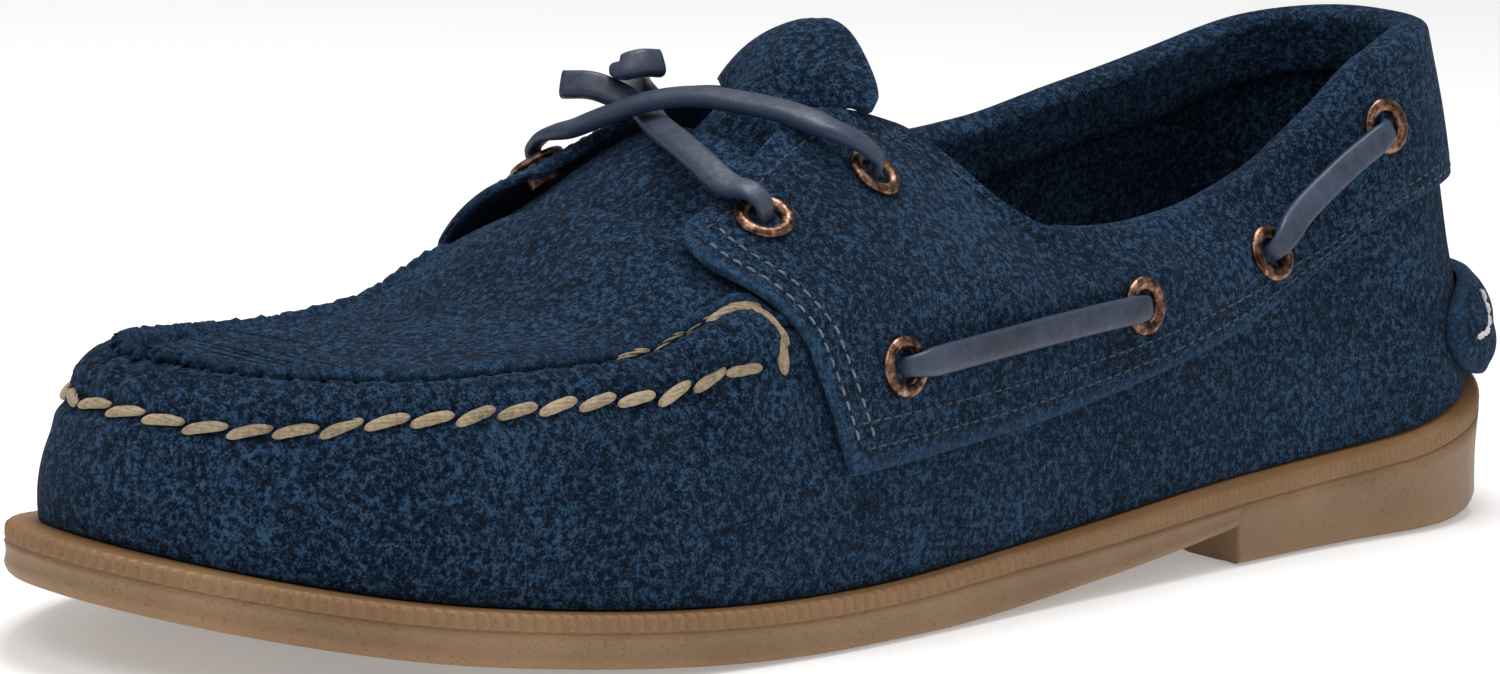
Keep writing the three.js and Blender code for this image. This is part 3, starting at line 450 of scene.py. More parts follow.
# %% Suede
def suede(name, deep, middle, light, fuzz):
    made, tree, shader, where = material(name, 0.93)
    clumps = noise(tree, where, 860, 4, 0.70)
    patches = noise(tree, where, 42, 3, 0.55)
    grain = noise(tree, where, 2400, 2, 0.7)
    tone = weigh(tree, (clumps, 0.56), (patches, 0.10), (grain, 0.34))
    nap = ramp(tree, tone, [(0.435, deep), (0.50, middle), (0.58, light)])
    edge = maths(tree, "MULTIPLY", attribute(tree, "edge"), maths(tree, "ADD", grain, -0.10))
    tree.links.new(blend(tree, edge, nap, fuzz), shader.inputs["Base Color"])
    set_sockets(shader, {"Sheen Weight": 0.06, "Sheen Roughness": 0.45,
                         "Sheen Tint": (0.42, 0.64, 0.95, 1), "Specular IOR Level": 0.12})
    bump(tree, shader, weigh(tree, (clumps, 0.6), (grain, 0.4)), 0.0013)
    return made

navy_suede = suede("navy_suede", (0.0011, 0.0042, 0.011), (0.0056, 0.0190, 0.045),
                   (0.036, 0.086, 0.165), (0.034, 0.085, 0.165))
lining_suede = suede("lining_suede", (0.0018, 0.0055, 0.010), (0.0045, 0.0130, 0.024),
                     (0.012, 0.033, 0.055), (0.018, 0.045, 0.075))

# %% [markdown]
# Gum rubber is honey brown, a little cloudy, with dark specks in it. Painted light makes the
# rounded top edge, the rim and the lower fillet of the sole lighter and more orange.
# It is semi-gloss, with worn dull patches, so the noise drives the roughness too.

# %% Gum rubber
def gum():
    made, tree, shader, where = material("gum_rubber", 0.5)
    cloud = noise(tree, where, 28, 4, 0.6)
    speck = noise(tree, where, 1900, 1, 0.5)
    body = ramp(tree, cloud, [
        (0.30, (0.175, 0.098, 0.046)), (0.52, (0.232, 0.136, 0.065)), (0.72, (0.290, 0.178, 0.090))])
    # painted light: the sole's rounded top edge, rim and lower fillet are mixed towards a lighter orange
    body = blend(tree, maths(tree, "MULTIPLY", attribute(tree, "painted_light"), 0.45), body, (0.36, 0.178, 0.062))
    dark = ramp(tree, speck, [(0.30, (0.74, 0.70, 0.67)), (0.40, (1, 1, 1))])
    tree.links.new(blend(tree, 1.0, body, dark, "MULTIPLY"), shader.inputs["Base Color"])
    rough = maths(tree, "ADD", maths(tree, "MULTIPLY", noise(tree, where, 60, 3), 0.3), 0.36)
    tree.links.new(rough, shader.inputs["Roughness"])
    set_sockets(shader, {"Subsurface Weight": 0.12, "Subsurface Radius": (0.004, 0.0018, 0.0006)})
    bump(tree, shader, noise(tree, where, 420, 3, 0.6), 0.00025, 0.6)
    return made

gum_rubber = gum()

# %% [markdown]
# The outsole is one moulding. Round its top edge runs a knurled rim: coarse teeth round the ball and
# fine ticks towards the heel. The rings of the side are laid close together round the foot, and one
# wave along the length round the sole moves the rim's points in and out.

# %% Outsole
def around(count):
    """Angles round the shoe, even in length along the outline."""
    a = np.linspace(-np.pi, np.pi, 4001)
    x, y = plan(a, 0.0)
    run = np.concatenate([[0], np.cumsum(np.hypot(np.diff(x), np.diff(y)))])
    return np.interp(np.linspace(0, run[-1], count), run, a)

KNURL_PITCH, KNURL_DEPTH = (2.45, 1.45), (0.85, 0.5)
TREAD_PITCH, TREAD_DEPTH = 5.2, 0.9
BED_INSET = LEDGE + 1.2

def outsole():
    turn = around(1441)
    inner_side = turn[turn < -1e-6]
    a = np.concatenate([inner_side, [0.0], -inner_side[::-1]])
    s = share(a)
    x, y = plan(a, 0.0)
    step = np.concatenate([[0], np.hypot(np.diff(x), np.diff(y))])
    rearward = smooth(0.42, 0.62, s)
    wave = 0.5 + 0.5 * np.cos(2 * np.pi * np.cumsum(step / lerp(*KNURL_PITCH, rearward)))
    tooth = wave ** 0.7 * lerp(*KNURL_DEPTH, rearward)
    low, edge, f = sole_bottom(s), sole_edge(s), edge_fillet(s)
    heel = smooth(0.45, 0.72, s)
    shelf = 0.9 * heel
    shoulder = edge - shelf
    # each ring is an inset and a height, from the tread up the side and over the rim to the footbed
    rings = [(f * 0.90, low), (f * 0.55, low + f * 0.08), (f * 0.25, low + f * 0.35)]
    rings += [(f * 0.08, low + f * 0.68), (f * 0, low + f)]
    top_side = edge - RIM_HEIGHT - 0.9 - 1.2 * heel
    rings += [(0.25 * np.sin(np.pi * t) + 0 * s, lerp(low + f, top_side, t))
              for t in (0.2, 0.4, 0.6, 0.8, 1.0)]
    rings += [(RIM_STEP + 0 * s, top_side + 0.25), (RIM_STEP + 0 * s, top_side + 0.5)]
    rings += [(0.05 + tooth * 0.3, top_side + 0.75), (tooth * 0.85, top_side + 1.1)]
    rings += [(tooth, shoulder - 1.1), (0.12 + tooth, shoulder - 0.45)]
    rings += [(0.5 + tooth * 0.8, shoulder - 0.1 - tooth * 0.3), (0.95 + tooth * 0.3, shoulder)]
    rings += [(1.6 + heel * 0.6, edge - shelf * 0.75), (2.4 + heel, edge - shelf * 0.2)]
    rings += [(LEDGE + 0 * s, edge - 0.05), (LEDGE + 0.9 + 0 * s, edge - 0.3)]
    rings.append((BED_INSET + 0 * s, sole_seat(s)))
    rows = np.stack([np.stack([*plan(a, inset), z], -1) for inset, z in rings])
    # painted light on each ring, lighter and more orange, highest on the rounded top edge and the rim, and
    # some on the lower fillet
    painted_light = [0, 0.3, 0.6, 0.5, 0.35, 0.2, 0.08, 0, 0, 0.1, 0.4, 0.4]
    painted_light = np.array(painted_light + [0.5, 0.5, 0.5, 0.7, 0.9, 1, 1, 1, 0.6, 0.3, 0])
    side_grid = grid("outsole", rows, {"painted_light": painted_light[:, None]})
    half = len(a) // 2
    t = np.linspace(0, 1, 33)[:, None, None]
    sheets = [side_grid]
    for name, ring in (("tread", rows[0]), ("footbed", rows[-1])):
        left, mid_right = ring[half::-1], ring[half:]
        across = lerp(mid_right[None], left[None], t)
        if name == "tread":
            zig = across[..., 1] + 1.5 * np.abs((across[..., 0] / 6.0) % 2 - 1)
            groove = np.clip(1.6 * np.cos(2 * np.pi * zig / TREAD_PITCH) - 0.9, 0, 1)
            inside = smooth(0, 0.06, t[..., 0]) * smooth(0, 0.06, 1 - t[..., 0])
            across[..., 2] += TREAD_DEPTH * groove * inside
            across = across[::-1]
        sheets.append(grid(name, across, {"painted_light": 0.0 * across[..., 0]}))
    return join("gum_sole", sheets)

finish_piece(outsole(), gum_rubber, "gum_rubber", "outsole")

# %% [markdown]
# The footbed is a thin leather-covered board that lies on the sole. Its edges are hidden by the
# walls, so two plain sheets and a rolled edge between them are enough.

# %% Leather finishes
def leather(name, dark, light, rough, grain=700, raw=None):
    made, tree, shader, where = material(name, rough)
    fine = noise(tree, where, grain, 3, 0.6)
    broad = noise(tree, where, 35, 3, 0.6)
    tone = weigh(tree, (fine, 0.4), (broad, 0.6))
    face = ramp(tree, tone, [(0.38, dark), (0.62, light)])
    fuzz = maths(tree, "MULTIPLY", attribute(tree, "edge"), maths(tree, "ADD", fine, 0.25))
    raw = raw or tuple(c * 2 for c in light)
    tree.links.new(blend(tree, fuzz, face, raw), shader.inputs["Base Color"])
    bump(tree, shader, fine, 0.0003, 0.6)
    return made

footbed_leather = leather("footbed_leather", (0.010, 0.014, 0.024), (0.020, 0.027, 0.045), 0.7)
lace_leather = leather("lace_leather", (0.020, 0.029, 0.054), (0.052, 0.070, 0.118), 0.45,
                       grain=500, raw=(0.010, 0.032, 0.075))

# %% Insole
def insole():
    inset = BED_INSET + 0.9
    a = np.linspace(-np.pi, np.pi, 241)
    rings = []
    for more, lift in ((0.6, GAP), (0.1, GAP + 0.4), (0, GAP + 1.5), (0.1, GAP + 2.6), (0.6, GAP + 3.0)):
        x, y = plan(a, inset + more)
        rings.append(np.stack([x, y, sole_seat(share(a)) + lift], -1))
    rows = np.stack(rings)
    t = np.linspace(0, 1, 25)[:, None, None]
    parts = [grid("insole", rows)]
    for ring, up in ((rows[0], False), (rows[-1], True)):
        across = lerp(ring[120:][None], ring[120::-1][None], t)
        parts.append(grid("bed", across if up else across[::-1]))
    return join("footbed_board", parts)

finish_piece(insole(), footbed_leather, "footbed", "insole")

# %% [markdown]
# The upper is one piece of suede that wraps the foot from below, sewn to the plug, the piece over
# the toes, with a raised moccasin seam. The leather puckers between the stitches, because the wall
# is longer than the plug that it is sewn to. The pucker is a wave along the seam, highest in the
# middle of each stitch and pinched at its holes, so the stitches and the bulges share one count.

# %% Moccasin seam
THROAT, BAND_WIDTH, BAND_RISE, BAND_LIP, STITCH_PITCH = 0.41, 5.4, 3.2, 1.2, 6.9
RIDGE_END = 0.337, 0.352
crown, = scaled([SEAM_HEIGHT], [
    # share of length, rise of the plug's middle over its cut edges
    [0.0, 0.0], [0.05, -0.0095], [0.12, -0.0143], [0.2, 0.0048],
    [0.27, 0.0714], [0.345, 0.2619], [0.38, 0.4405], [0.42, 0.619],
])
edge_power = curve([[0, 2.2], [0.3, 2.2], [0.38, 2.0], [0.42, 1.9]])

def ridge(s):
    return 1 - 0.72 * smooth(*RIDGE_END, s)

def lip_at(s):
    """How far the cut edge stands over the plug."""
    return BAND_LIP * (1 - smooth(*RIDGE_END, s))

def sewn(s):
    """1 along the sewn seam, falling to 0 towards the throat."""
    return 1 - smooth(0.335, 0.40, s)

def seam_band(a, t):
    """The puckered band: t runs from the stitch line to the cut edge over the plug."""
    s = share(a)
    x, y = plan(a, inset_q(s) + BAND_WIDTH * ridge(s) * t)
    arch = np.sin(t * np.pi * 0.42) / np.sin(np.pi * 0.42)
    return np.stack(np.broadcast_arrays(x, y, height_q(s, a >= 0) + BAND_RISE * ridge(s) * arch), -1)

seam_a = np.linspace(0, np.pi, 1500)
seam_run = {side: run_along(wall(seam_a * side, 1.0)) for side in (1, -1)}

def seam_phase(a):
    """How many stitches along the seam from the toe."""
    outer_run, inner_run = (np.interp(np.abs(a), seam_a, seam_run[side]) for side in (1, -1))
    return np.where(a >= 0, outer_run, inner_run) / STITCH_PITCH

stitch_drop = curve([
    # share of length, how far in mm the stitches lie under the bend of the wall
    [0.00, 2.2], [0.03, 2.7], [0.075, 1.8], [0.12, 0.3], [0.22, 0.1], [0.26, 0.6], [0.285, 1.0],
    [0.31, 2.0], [0.345, 5.0], [1.00, 5.0],
])

def stitch_v(a):
    """Where the line of stitches lies on the wall."""
    s, outer = share(a), np.asarray(a) >= 0
    drop = stitch_drop(s) * np.where(outer, 1, 1 - smooth(0.05, 0.12, s))
    return wall_at(a, height_q(s, outer) - drop - 0.01)

print("seam from toe to ridge end:", round(float(np.interp(angle(0.345), seam_a, seam_run[1]))), "mm")

# %% Collar and rim
ROLL_START, ROLL_FULL = 0.568, 0.622
LEG_OUT = WALL + GAP + FACET
LEG_IN = LEG_OUT + LINING
roll_depth, slot_top, roll_inner, slot_inner = scaled([ROLL_DEPTH, ROLL_DEPTH, LEG_IN, LEG_OUT], [
    [ROLL_START, 0.18, 0.15, 0.074, 0.193], [ROLL_FULL - 0.032, 0.20, 0.17, -0.395, -0.21],
    [ROLL_FULL - 0.018, 0.26, 0.05, -1, -1], [ROLL_FULL, 1.00, 0.05, -1, -1], [1.00, 1.00, 0.05, -1, -1],
])
rim_share = curve([
    # share of length, share of the way from the stitch line to the top line
    [THROAT, 0.10], [0.44, 0.40], [0.48, 0.66], [0.53, 0.80], [ROLL_START, 0.64], [ROLL_FULL, 0.60],
])

def band_length(a):
    half = wall(a, 1.5)
    return np.linalg.norm(wall(a, 2.0) - half, axis=-1) + np.linalg.norm(half - wall(a, 1.0), axis=-1)

def rim_at(a):
    s = share(a)
    in_slot = 1 - (slot_top(s) + GAP + FACET) / band_length(a)
    return lerp(rim_share(s), in_slot, smooth(ROLL_FULL - 0.014, ROLL_FULL, s))

# %% Upper
CREASES = [
    # from, to, half width and depth in mm
    ((46, -60, 40), (47, -79, 17), 4.2, 0.55), ((45, -84, 37), (46, -103, 19), 4.0, 0.40),
    ((44, -34, 40), (46, -50, 20), 4.0, 0.35), ((-16, -64, 66), (21, -61, 62), 3.8, 0.45),
    ((-12, -52, 71), (16, -50, 69), 3.2, 0.35), ((38, -118, 36), (30, -132, 20), 4.0, 0.30),
]

def creases(p):
    """Soft troughs with a low ridge on both sides, where the foot has bent the leather."""
    total = np.zeros(p.shape[:-1])
    for start, end, width, depth in CREASES:
        start, run = np.array(start, float), np.array(end, float) - start
        t = np.clip((p - start) @ run / (run @ run), 0, 1)
        d = np.linalg.norm(p - start - t[..., None] * run, axis=-1) / width
        total += depth * (0.45 * np.exp(-((d - 1.7) / 0.8) ** 2) - np.exp(-d ** 2))
    return total

def hand_worn(p):
    """Creases, and slow unevenness of a lasted, handled upper, about half a millimetre."""
    x, y, z = p[..., 0], p[..., 1], p[..., 2]
    slow = 0.22 * np.sin(x * 0.13 + 1.1) * np.sin(y * 0.085 + 0.6) + 0.16 * np.sin(y * 0.19 + z * 0.11 + 0.4)
    return creases(p) + slow + 0.10 * np.sin(x * 0.31 - y * 0.27 + 2.0) * np.sin(z * 0.24)

def lift_by(rows, amount):
    """Points moved along the surface's own normals by an amount in mm."""
    across = np.gradient(rows, axis=1)
    along = np.gradient(rows, axis=0)
    return rows + unit(np.cross(across, along)) * amount[..., None]

FRONT_COLS, WALL_ROWS, BAND_ROWS, PLUG_COLS = 190, 42, 17, 71
WALL_RUN, BAND_RUN = 30, 6

def thicken(obj, thickness, lining=0):
    """Gives a sheet the thickness of its leather, inwards."""
    thick = obj.modifiers.new("leather", "SOLIDIFY")
    thick.thickness, thick.offset, thick.use_rim = thickness * MM, -1, True
    thick.material_offset = lining
    bpy.ops.object.modifier_apply(modifier="leather")
    return obj

def upper():
    throat = float(angle(THROAT))
    front = np.linspace(0, throat, FRONT_COLS)
    sides = np.concatenate([front, np.linspace(throat, np.pi, 96)[1:]])
    a = np.concatenate([-sides[:0:-1], sides])[None, :]
    s = share(a)
    v = 1 - (1 - np.linspace(0, 1, WALL_ROWS)) ** 1.25
    t = np.linspace(0, 1, BAND_ROWS + 1)[1:, None]
    low = wall(a, v[:, None])
    high = lerp(seam_band(a, t), wall(a, 1 + rim_at(a) * t), smooth(THROAT, THROAT + 0.03, s)[..., None])
    rows = np.concatenate([low, high])
    keep, turn = sewn(s), seam_phase(a)
    bulge = np.abs(np.cos(np.pi * turn)) ** 0.8
    vs = stitch_v(a)
    reach = (1 - vs) * WALL_RUN + BAND_RUN
    # roughly how far in mm each row lies over the stitches
    over = np.concatenate([(v[:, None] - vs) * WALL_RUN, (1 - vs) * WALL_RUN + t * BAND_RUN])
    pucker = 1.4 * (0.22 + 0.78 * bulge) * np.sin(np.pi * np.clip(0.95 * over / reach + 0.02, 0, 1)) ** 0.8
    swell = (0.25 + 0.35 * bulge) * np.exp(-((over + 4.2) / 2.4) ** 2)
    hole = (0.55 + 0.5 * (1 - bulge)) * np.exp(-(over / 1.4) ** 2)
    push = keep * (np.where(over < 0, swell, pucker) - hole)
    push[-1] = 0.2 * keep[0]
    ragged = 0.20 * np.sin(turn * 11.3 + 0.7) * np.sin(turn * 4.1) + 0.10 * np.sin(turn * 23.7 + 2)
    worn = hand_worn(rows) * np.concatenate([smooth(0, 0.15, v), np.full(BAND_ROWS, 0.5)])[:, None]
    worn[WALL_ROWS - 1:] *= 1 - keep[0] * 0.8
    rows = lift_by(rows, push + worn)
    rows[WALL_ROWS:, :, 2] += lip_at(s[0]) * np.minimum(1, np.linspace(0.3, 1.6, BAND_ROWS))[:, None]
    frayed = keep * ragged * smooth(0.6, 1.0, t)
    rows[WALL_ROWS:] += frayed[..., None] * np.array([0, 0, 1.3])
    edge = np.concatenate([np.zeros((WALL_ROWS, 1)) + 0 * s, 0.6 * smooth(0.80, 1.0, t) * keep])
    body = grid("upper", rows, {"edge": edge})
    # the plug is bridged from cut edge to cut edge
    middle = a.shape[1] // 2
    half = slice(middle, middle + FRONT_COLS)
    left, right = rows[-1, middle - FRONT_COLS + 1:middle + 1][::-1], rows[-1, half]
    q = np.linspace(-1, 1, PLUG_COLS)
    xi = np.sign(q) * (1 - (1 - np.abs(q)) ** 1.8)
    plug_s = share(front)[:, None]
    across = lerp(left[:, None], right[:, None], ((xi + 1) / 2)[None, :, None])
    fray = 1.3 * (keep * ragged)[0, half, None]
    apart = (1 - np.abs(xi))[None] * np.linalg.norm(right - left, axis=-1)[:, None] / 2
    sunk = 2.0 * (1 - smooth(0.06, 0.20, plug_s)) * (1 - np.exp(-(apart / 1.1) ** 2))
    valley = 0.35 * np.exp(-((apart - 2.0) / 1.4) ** 2) * keep[0, half, None]
    drop = sunk + lip_at(plug_s) * (1 - np.exp(-(apart / 0.55) ** 2)) + valley
    across[..., 2] -= fray * (1 - np.exp(-(apart / 0.8) ** 2))
    across[..., 2] += crown(plug_s) * (1 - np.abs(xi)[None] ** edge_power(plug_s)) - drop
    across[..., 2] += hand_worn(across) * 1.2 * smooth(1.0, 6.0, apart)
    fuzz = 0.6 * (1 - smooth(0.05, 0.7, apart)) * sewn(plug_s)
    plug = grid("plug", across[::-1], {"edge": fuzz[::-1]})
    return thicken(join("suede_upper", [body, plug], merge=1e-6), WALL, lining=1)

vamp = finish_piece(upper(), navy_suede, "suede", "upper")
vamp.data.materials.append(lining_suede)

# %% [markdown]
# The quarter is the second layer of suede, from one front edge round the heel to the other, with the
# eyestays at its ends. Its cut edges show the leather's full thickness. At the collar it turns over
# the upper's top and down inside. The section goes once round this loop, and is swept from end to
# end, so the piece is closed without any boolean cut.

# %% Quarter
FRONT_EDGE = [
    # share of the way up, share of length on the outer and on the inner side
    [0.00, 0.386, 0.386], [0.30, 0.365, 0.362], [0.55, 0.348, 0.343],
    [0.86, 0.327, 0.345], [0.95, 0.329, 0.350], [1.00, 0.338, 0.358],
]
front_outer, front_inner = curve(FRONT_EDGE, 1), curve(FRONT_EDGE, 2)
lower_edge, = scaled([SEAM_HEIGHT], [
    # share of length, height of the quarter's lower edge
    [0.38, 0.652], [0.475, 0.693], [0.555, 0.738], [0.636, 0.819], [0.721, 0.945], [0.786, 1.112],
    [0.827, 1.233], [0.88, 1.36], [0.94, 1.43], [1.00, 1.45],
])

def quarter_spot(u, w):
    """Angle and v of a place on the quarter: u from front edge to front edge, w upwards."""
    u, w = np.broadcast_arrays(u, w)
    a = wrap(lerp(angle(front_outer(w)), 2 * np.pi - angle(front_inner(w)), u))
    return a, lerp(wall_at(a, lower_edge(share(a))), 2.0, w)

def near_top(a, depth, off):
    """A point a depth below the top line, and an offset away from the wall."""
    a, depth, off = np.broadcast_arrays(a, depth, off)
    up = unit(wall(a, 2.0) - wall(a, 1.97))
    over_top = wall(a, 2.0) - up * depth[..., None] + wall_normal(a, 1.995) * off[..., None]
    inside = on_wall(a, 2 - np.maximum(depth, 0) / band_length(a), off)
    return np.where(depth[..., None] <= 0, over_top, inside)

def end_sheets(outer, inner):
    """Sheets that close a swept piece at its first and its last column."""
    sheets = []
    for column, turn in ((0, 1), (-1, -1)):
        sheet = np.stack([outer[:, column], inner[:, column]])[::turn]
        sheets.append(grid("end", sheet, {"edge": np.ones(sheet.shape[:2])}))
    return sheets

QUARTER_RUN, QUARTER_RISE = 435.0, 45.0
near_edge = np.array([0, 0.12, 0.3, 0.55, 0.85, 1.2])

def rounded(e, radius=0.8):
    return (1 - (1 - np.clip(e / radius, 0, 1)) ** 2.6) ** (1 / 2.6)

def quarter():
    ends = near_edge / QUARTER_RUN
    between = np.linspace(1.8 / QUARTER_RUN, 1 - 1.8 / QUARTER_RUN, 470)
    u = np.concatenate([ends, between, 1 - ends[::-1]])[None, :]
    w = np.concatenate([near_edge / QUARTER_RISE, np.linspace(1.8 / QUARTER_RISE, 1, 34)])[:, None]
    from_end, from_low = np.minimum(u, 1 - u) * QUARTER_RUN, w * QUARTER_RISE
    shape = rounded(from_end) * rounded(from_low)
    mid, half = (SURFACE + GAP + FACET) / 2, OVERLAY / 2
    a, v = quarter_spot(u, w)
    outer = on_wall(a, v, mid + half * shape)
    free = smooth(0, 6, from_end) * smooth(0, 6, from_low) * smooth(0, 0.12, 1 - w)
    outer = lift_by(outer, hand_worn(outer) * 0.8 * free)
    top_a = quarter_spot(u, np.ones_like(u))[0]
    s = share(top_a)
    i, j, d, t = roll_inner(s), slot_inner(s), roll_depth(s), slot_top(s)
    arc = np.pi * np.arange(1, 10)[:, None] / 10
    high = np.minimum(2.2, (SURFACE - i) * 0.42)
    head = [(-high * np.sin(arc), (SURFACE + i) / 2 + (SURFACE - i) / 2 * np.cos(arc))]
    head += [(d * k, i) for k in (0, 0.2, 0.4, 0.6, 0.8, 0.97)]
    head += [(d, lerp(i, j, 0.3)), (d, lerp(i, j, 0.7))]
    head += [(lerp(t, d, 0.6), j), (t, j), (t, GAP + FACET + 0 * s)]
    depth = np.concatenate([np.broadcast_to(p, (p.shape[0], u.shape[1])) for p, _ in head])
    off = np.concatenate([np.broadcast_to(o, (o.shape[0], u.shape[1])) for _, o in head])
    off = mid + (off - mid) * rounded(from_end)
    top_rows = near_top(top_a, depth, off)
    low_w = w[::-1] * 0.96
    a, v = quarter_spot(u, low_w)
    inner = on_wall(a, v, mid - half * shape[::-1])
    rows = np.concatenate([outer, top_rows, inner, outer[:1]])
    cut = 1 - smooth(0.5, 2.0, np.minimum(from_end, from_low))
    raw_top = np.broadcast_to(0.35 - 0.25 * smooth(ROLL_START, ROLL_FULL, s), depth.shape)
    inside = np.concatenate([cut, raw_top, cut[::-1], cut[:1]])
    body = grid("quarter", rows, {"edge": inside})
    ring = rows[:-1]
    half_count = ring.shape[0] // 2
    parts = [body, *end_sheets(ring[:half_count], ring[:half_count - 1:-1])]
    return join("suede_quarter", parts, merge=3e-6)

finish_piece(quarter(), navy_suede, "suede", "quarter")

# %% [markdown]
# The tongue is an arched tab that comes from under the plug and stands over the eyestays.

# %% Tongue
TONGUE_THICK, TONGUE_LEAN = 2.2, 2.4
tongue_y, tongue_z, tongue_half, tongue_drop = scaled([LENGTH, INSTEP_HEIGHT, HB, HB], [
    # share of the way up the tongue, its place and height, half width, and how far its sides hang
    [0.0, -0.142, 0.625, 0.3131, 0.137],
    [0.18, -0.113, 0.7, 0.3229, 0.1859],
    [0.4, -0.075, 0.825, 0.3033, 0.2348],
    [0.5, -0.06, 0.872, 0.2622, 0.2055],
    [0.62, -0.043, 0.917, 0.2427, 0.1663],
    [0.66, -0.039, 0.931, 0.2505, 0.1487],
    [0.7, -0.0345, 0.943, 0.3053, 0.137],
    [0.76, -0.027, 0.961, 0.3679, 0.1683],
    [0.85, -0.018, 0.982, 0.3953, 0.1957],
    [1.0, -0.006, 1.0, 0.3914, 0.1879],
])

def tongue_point(t, q):
    x = q * tongue_half(t) * np.maximum(cap((1 - t) / 0.26, 2.2), 0.02)
    back_by = 0.07 * HB * np.abs(q) ** 2 * smooth(0.2, 1, t)
    z = tongue_z(t) - tongue_drop(t) * np.abs(x / tongue_half(t)) ** 1.9
    return np.stack(np.broadcast_arrays(x - TONGUE_LEAN * smooth(0.6, 1, t), tongue_y(t) + back_by, z), -1)

def tongue():
    t = (1 - (1 - np.linspace(0, 1, 110)) ** 1.5)[:, None] * 0.9995
    q = np.sin(np.linspace(-1, 1, 81) * np.pi / 2)[None, :]
    rows = tongue_point(t, q)
    wave = 0.35 * np.sin(rows[..., 0] * 0.30 + 0.6) * smooth(0.3, 0.8, t) + hand_worn(rows)
    rows = lift_by(rows, wave)
    edge = np.maximum(smooth(0.93, 1.0, np.abs(q) + 0 * t), smooth(0.975, 1.0, t + 0 * q))
    obj = thicken(join("suede_tongue", [grid("tongue", rows, {"edge": edge})]), TONGUE_THICK)
    rim = obj.modifiers.new("rounded", "BEVEL")
    rim.width, rim.segments, rim.limit_method, rim.angle_limit = 0.0005, 2, "ANGLE", 0.9
    bpy.ops.object.modifier_apply(modifier="rounded")
    return obj

finish_piece(tongue(), navy_suede, "suede", "tongue")

# %% [markdown]
# At the back a padded tab of suede is sewn over the heel. It bulges most in its middle.

# %% Heel tab
TAB_LOW, TAB_HIGH, TAB_SPAN, TAB_STAND = 24.5, 42, 0.56, 5.2

def tab_spot(u, w):
    q = 2 * u - 1
    a = wrap(np.pi + TAB_SPAN * q * cap(1 - np.abs(2 * w - 1) * 0.9, 2) ** 0.5)
    puff = TAB_STAND * np.sin(np.pi * np.clip(0.12 + 0.80 * w, 0, 1)) ** 0.8 * cap(1 - np.abs(q) ** 3, 2)
    return a, wall_at(a, lerp(TAB_LOW, TAB_HIGH, w)), puff

def heel_tab():
    u = np.linspace(0, 1, 110)[None, :]
    w = np.linspace(0, 1, 40)[:, None]
    a, v, puff = tab_spot(*np.broadcast_arrays(u, w))
    outer, inner = on_wall(a, v, SURFACE + puff * 0.7), on_wall(a, v, GAP + FACET)
    free = smooth(0, 0.15, w) * smooth(0, 0.15, 1 - w)
    outer = lift_by(outer, 0.25 * np.sin(outer[..., 2] * 0.8 + outer[..., 0] * 0.35) * free)
    rows = np.concatenate([outer, inner[::-1], outer[:1]])
    e = np.minimum(np.minimum(w, 1 - w) * 17, np.minimum(u, 1 - u) * 60)
    cut = 1 - smooth(0.2, 1.6, e)
    body = grid("heel_tab", rows, {"edge": np.concatenate([cut, cut[::-1], cut[:1]])})
    return join("suede_heel_tab", [body, *end_sheets(outer, inner)], merge=3e-6, recalc=True)

finish_piece(heel_tab(), navy_suede, "suede", "heel_tab")

# %% [markdown]
# The eyelets are turned copper rings, rubbed bright on top and dark in the hollows. One is made as a
# metal worker would see it: a circle, extruded and scaled along the ring's section.

# %% Copper
def copper():
    made, tree, shader, where = material("aged_copper", 0.36, 1.0)
    worn = noise(tree, where, 520, 4, 0.65)
    tint = ramp(tree, worn, [
        (0.38, (0.045, 0.024, 0.018)), (0.50, (0.17, 0.090, 0.060)), (0.64, (0.46, 0.28, 0.20))])
    tree.links.new(tint, shader.inputs["Base Color"])
    rough = maths(tree, "ADD", maths(tree, "MULTIPLY", worn, 0.35), 0.2)
    tree.links.new(rough, shader.inputs["Roughness"])
    bump(tree, shader, noise(tree, where, 900, 2), 0.00012, 0.5)
    return made

aged_copper = copper()

# %% Eyelets
seats = {
    # side, share of length, share of the heel's height
    "throat_outer_lower": (1, 0.376, 0.75),
    "throat_outer_upper": (1, 0.462, 0.8093),
    "throat_inner_lower": (-1, 0.38, 0.7581),
    "throat_inner_upper": (-1, 0.462, 0.8174),
    "side_outer_1": (1, 0.4285, 0.5023),
    "side_outer_2": (1, 0.6346, 0.543),
    "side_outer_3": (1, 0.752, 0.5977),
    "side_outer_4": (1, 0.872, 0.8256),
    "side_inner_1": (-1, 0.4285, 0.5023),
    "side_inner_2": (-1, 0.6346, 0.5512),
    "side_inner_3": (-1, 0.752, 0.6337),
    "side_inner_4": (-1, 0.872, 0.814),
}

def seat_frame(side, s, z, off=SURFACE):
    """Where an eyelet sits on the quarter, and the direction out of it."""
    a = float(angle(s, side))
    v = float(wall_at(a, z * HEEL_HEIGHT))
    n = wall_normal(a, v)
    return wall(a, v) + n * off, n

def ring_section():
    """Radius and height round the ring's section, from the foot of the barrel over the rim and back."""
    barrel, bore, flange, foot = EYELET_BORE / 2 + 0.5, EYELET_BORE / 2, EYELET_OUTER / 2, -3.4
    over_leather = [
        (barrel, 0), (flange - 0.15, 0), (flange, 0.25), (flange - 0.1, 0.6), (flange - 0.5, 0.95),
        (flange - 1.0, 1.12), (flange - 1.5, 1.05), (bore + 0.35, 0.75), (bore + 0.1, 0.4), (bore, -0.2),
    ]
    return [(barrel, foot)] + [(r, GAP + z) for r, z in over_leather] + [(bore, foot), (barrel, foot)]

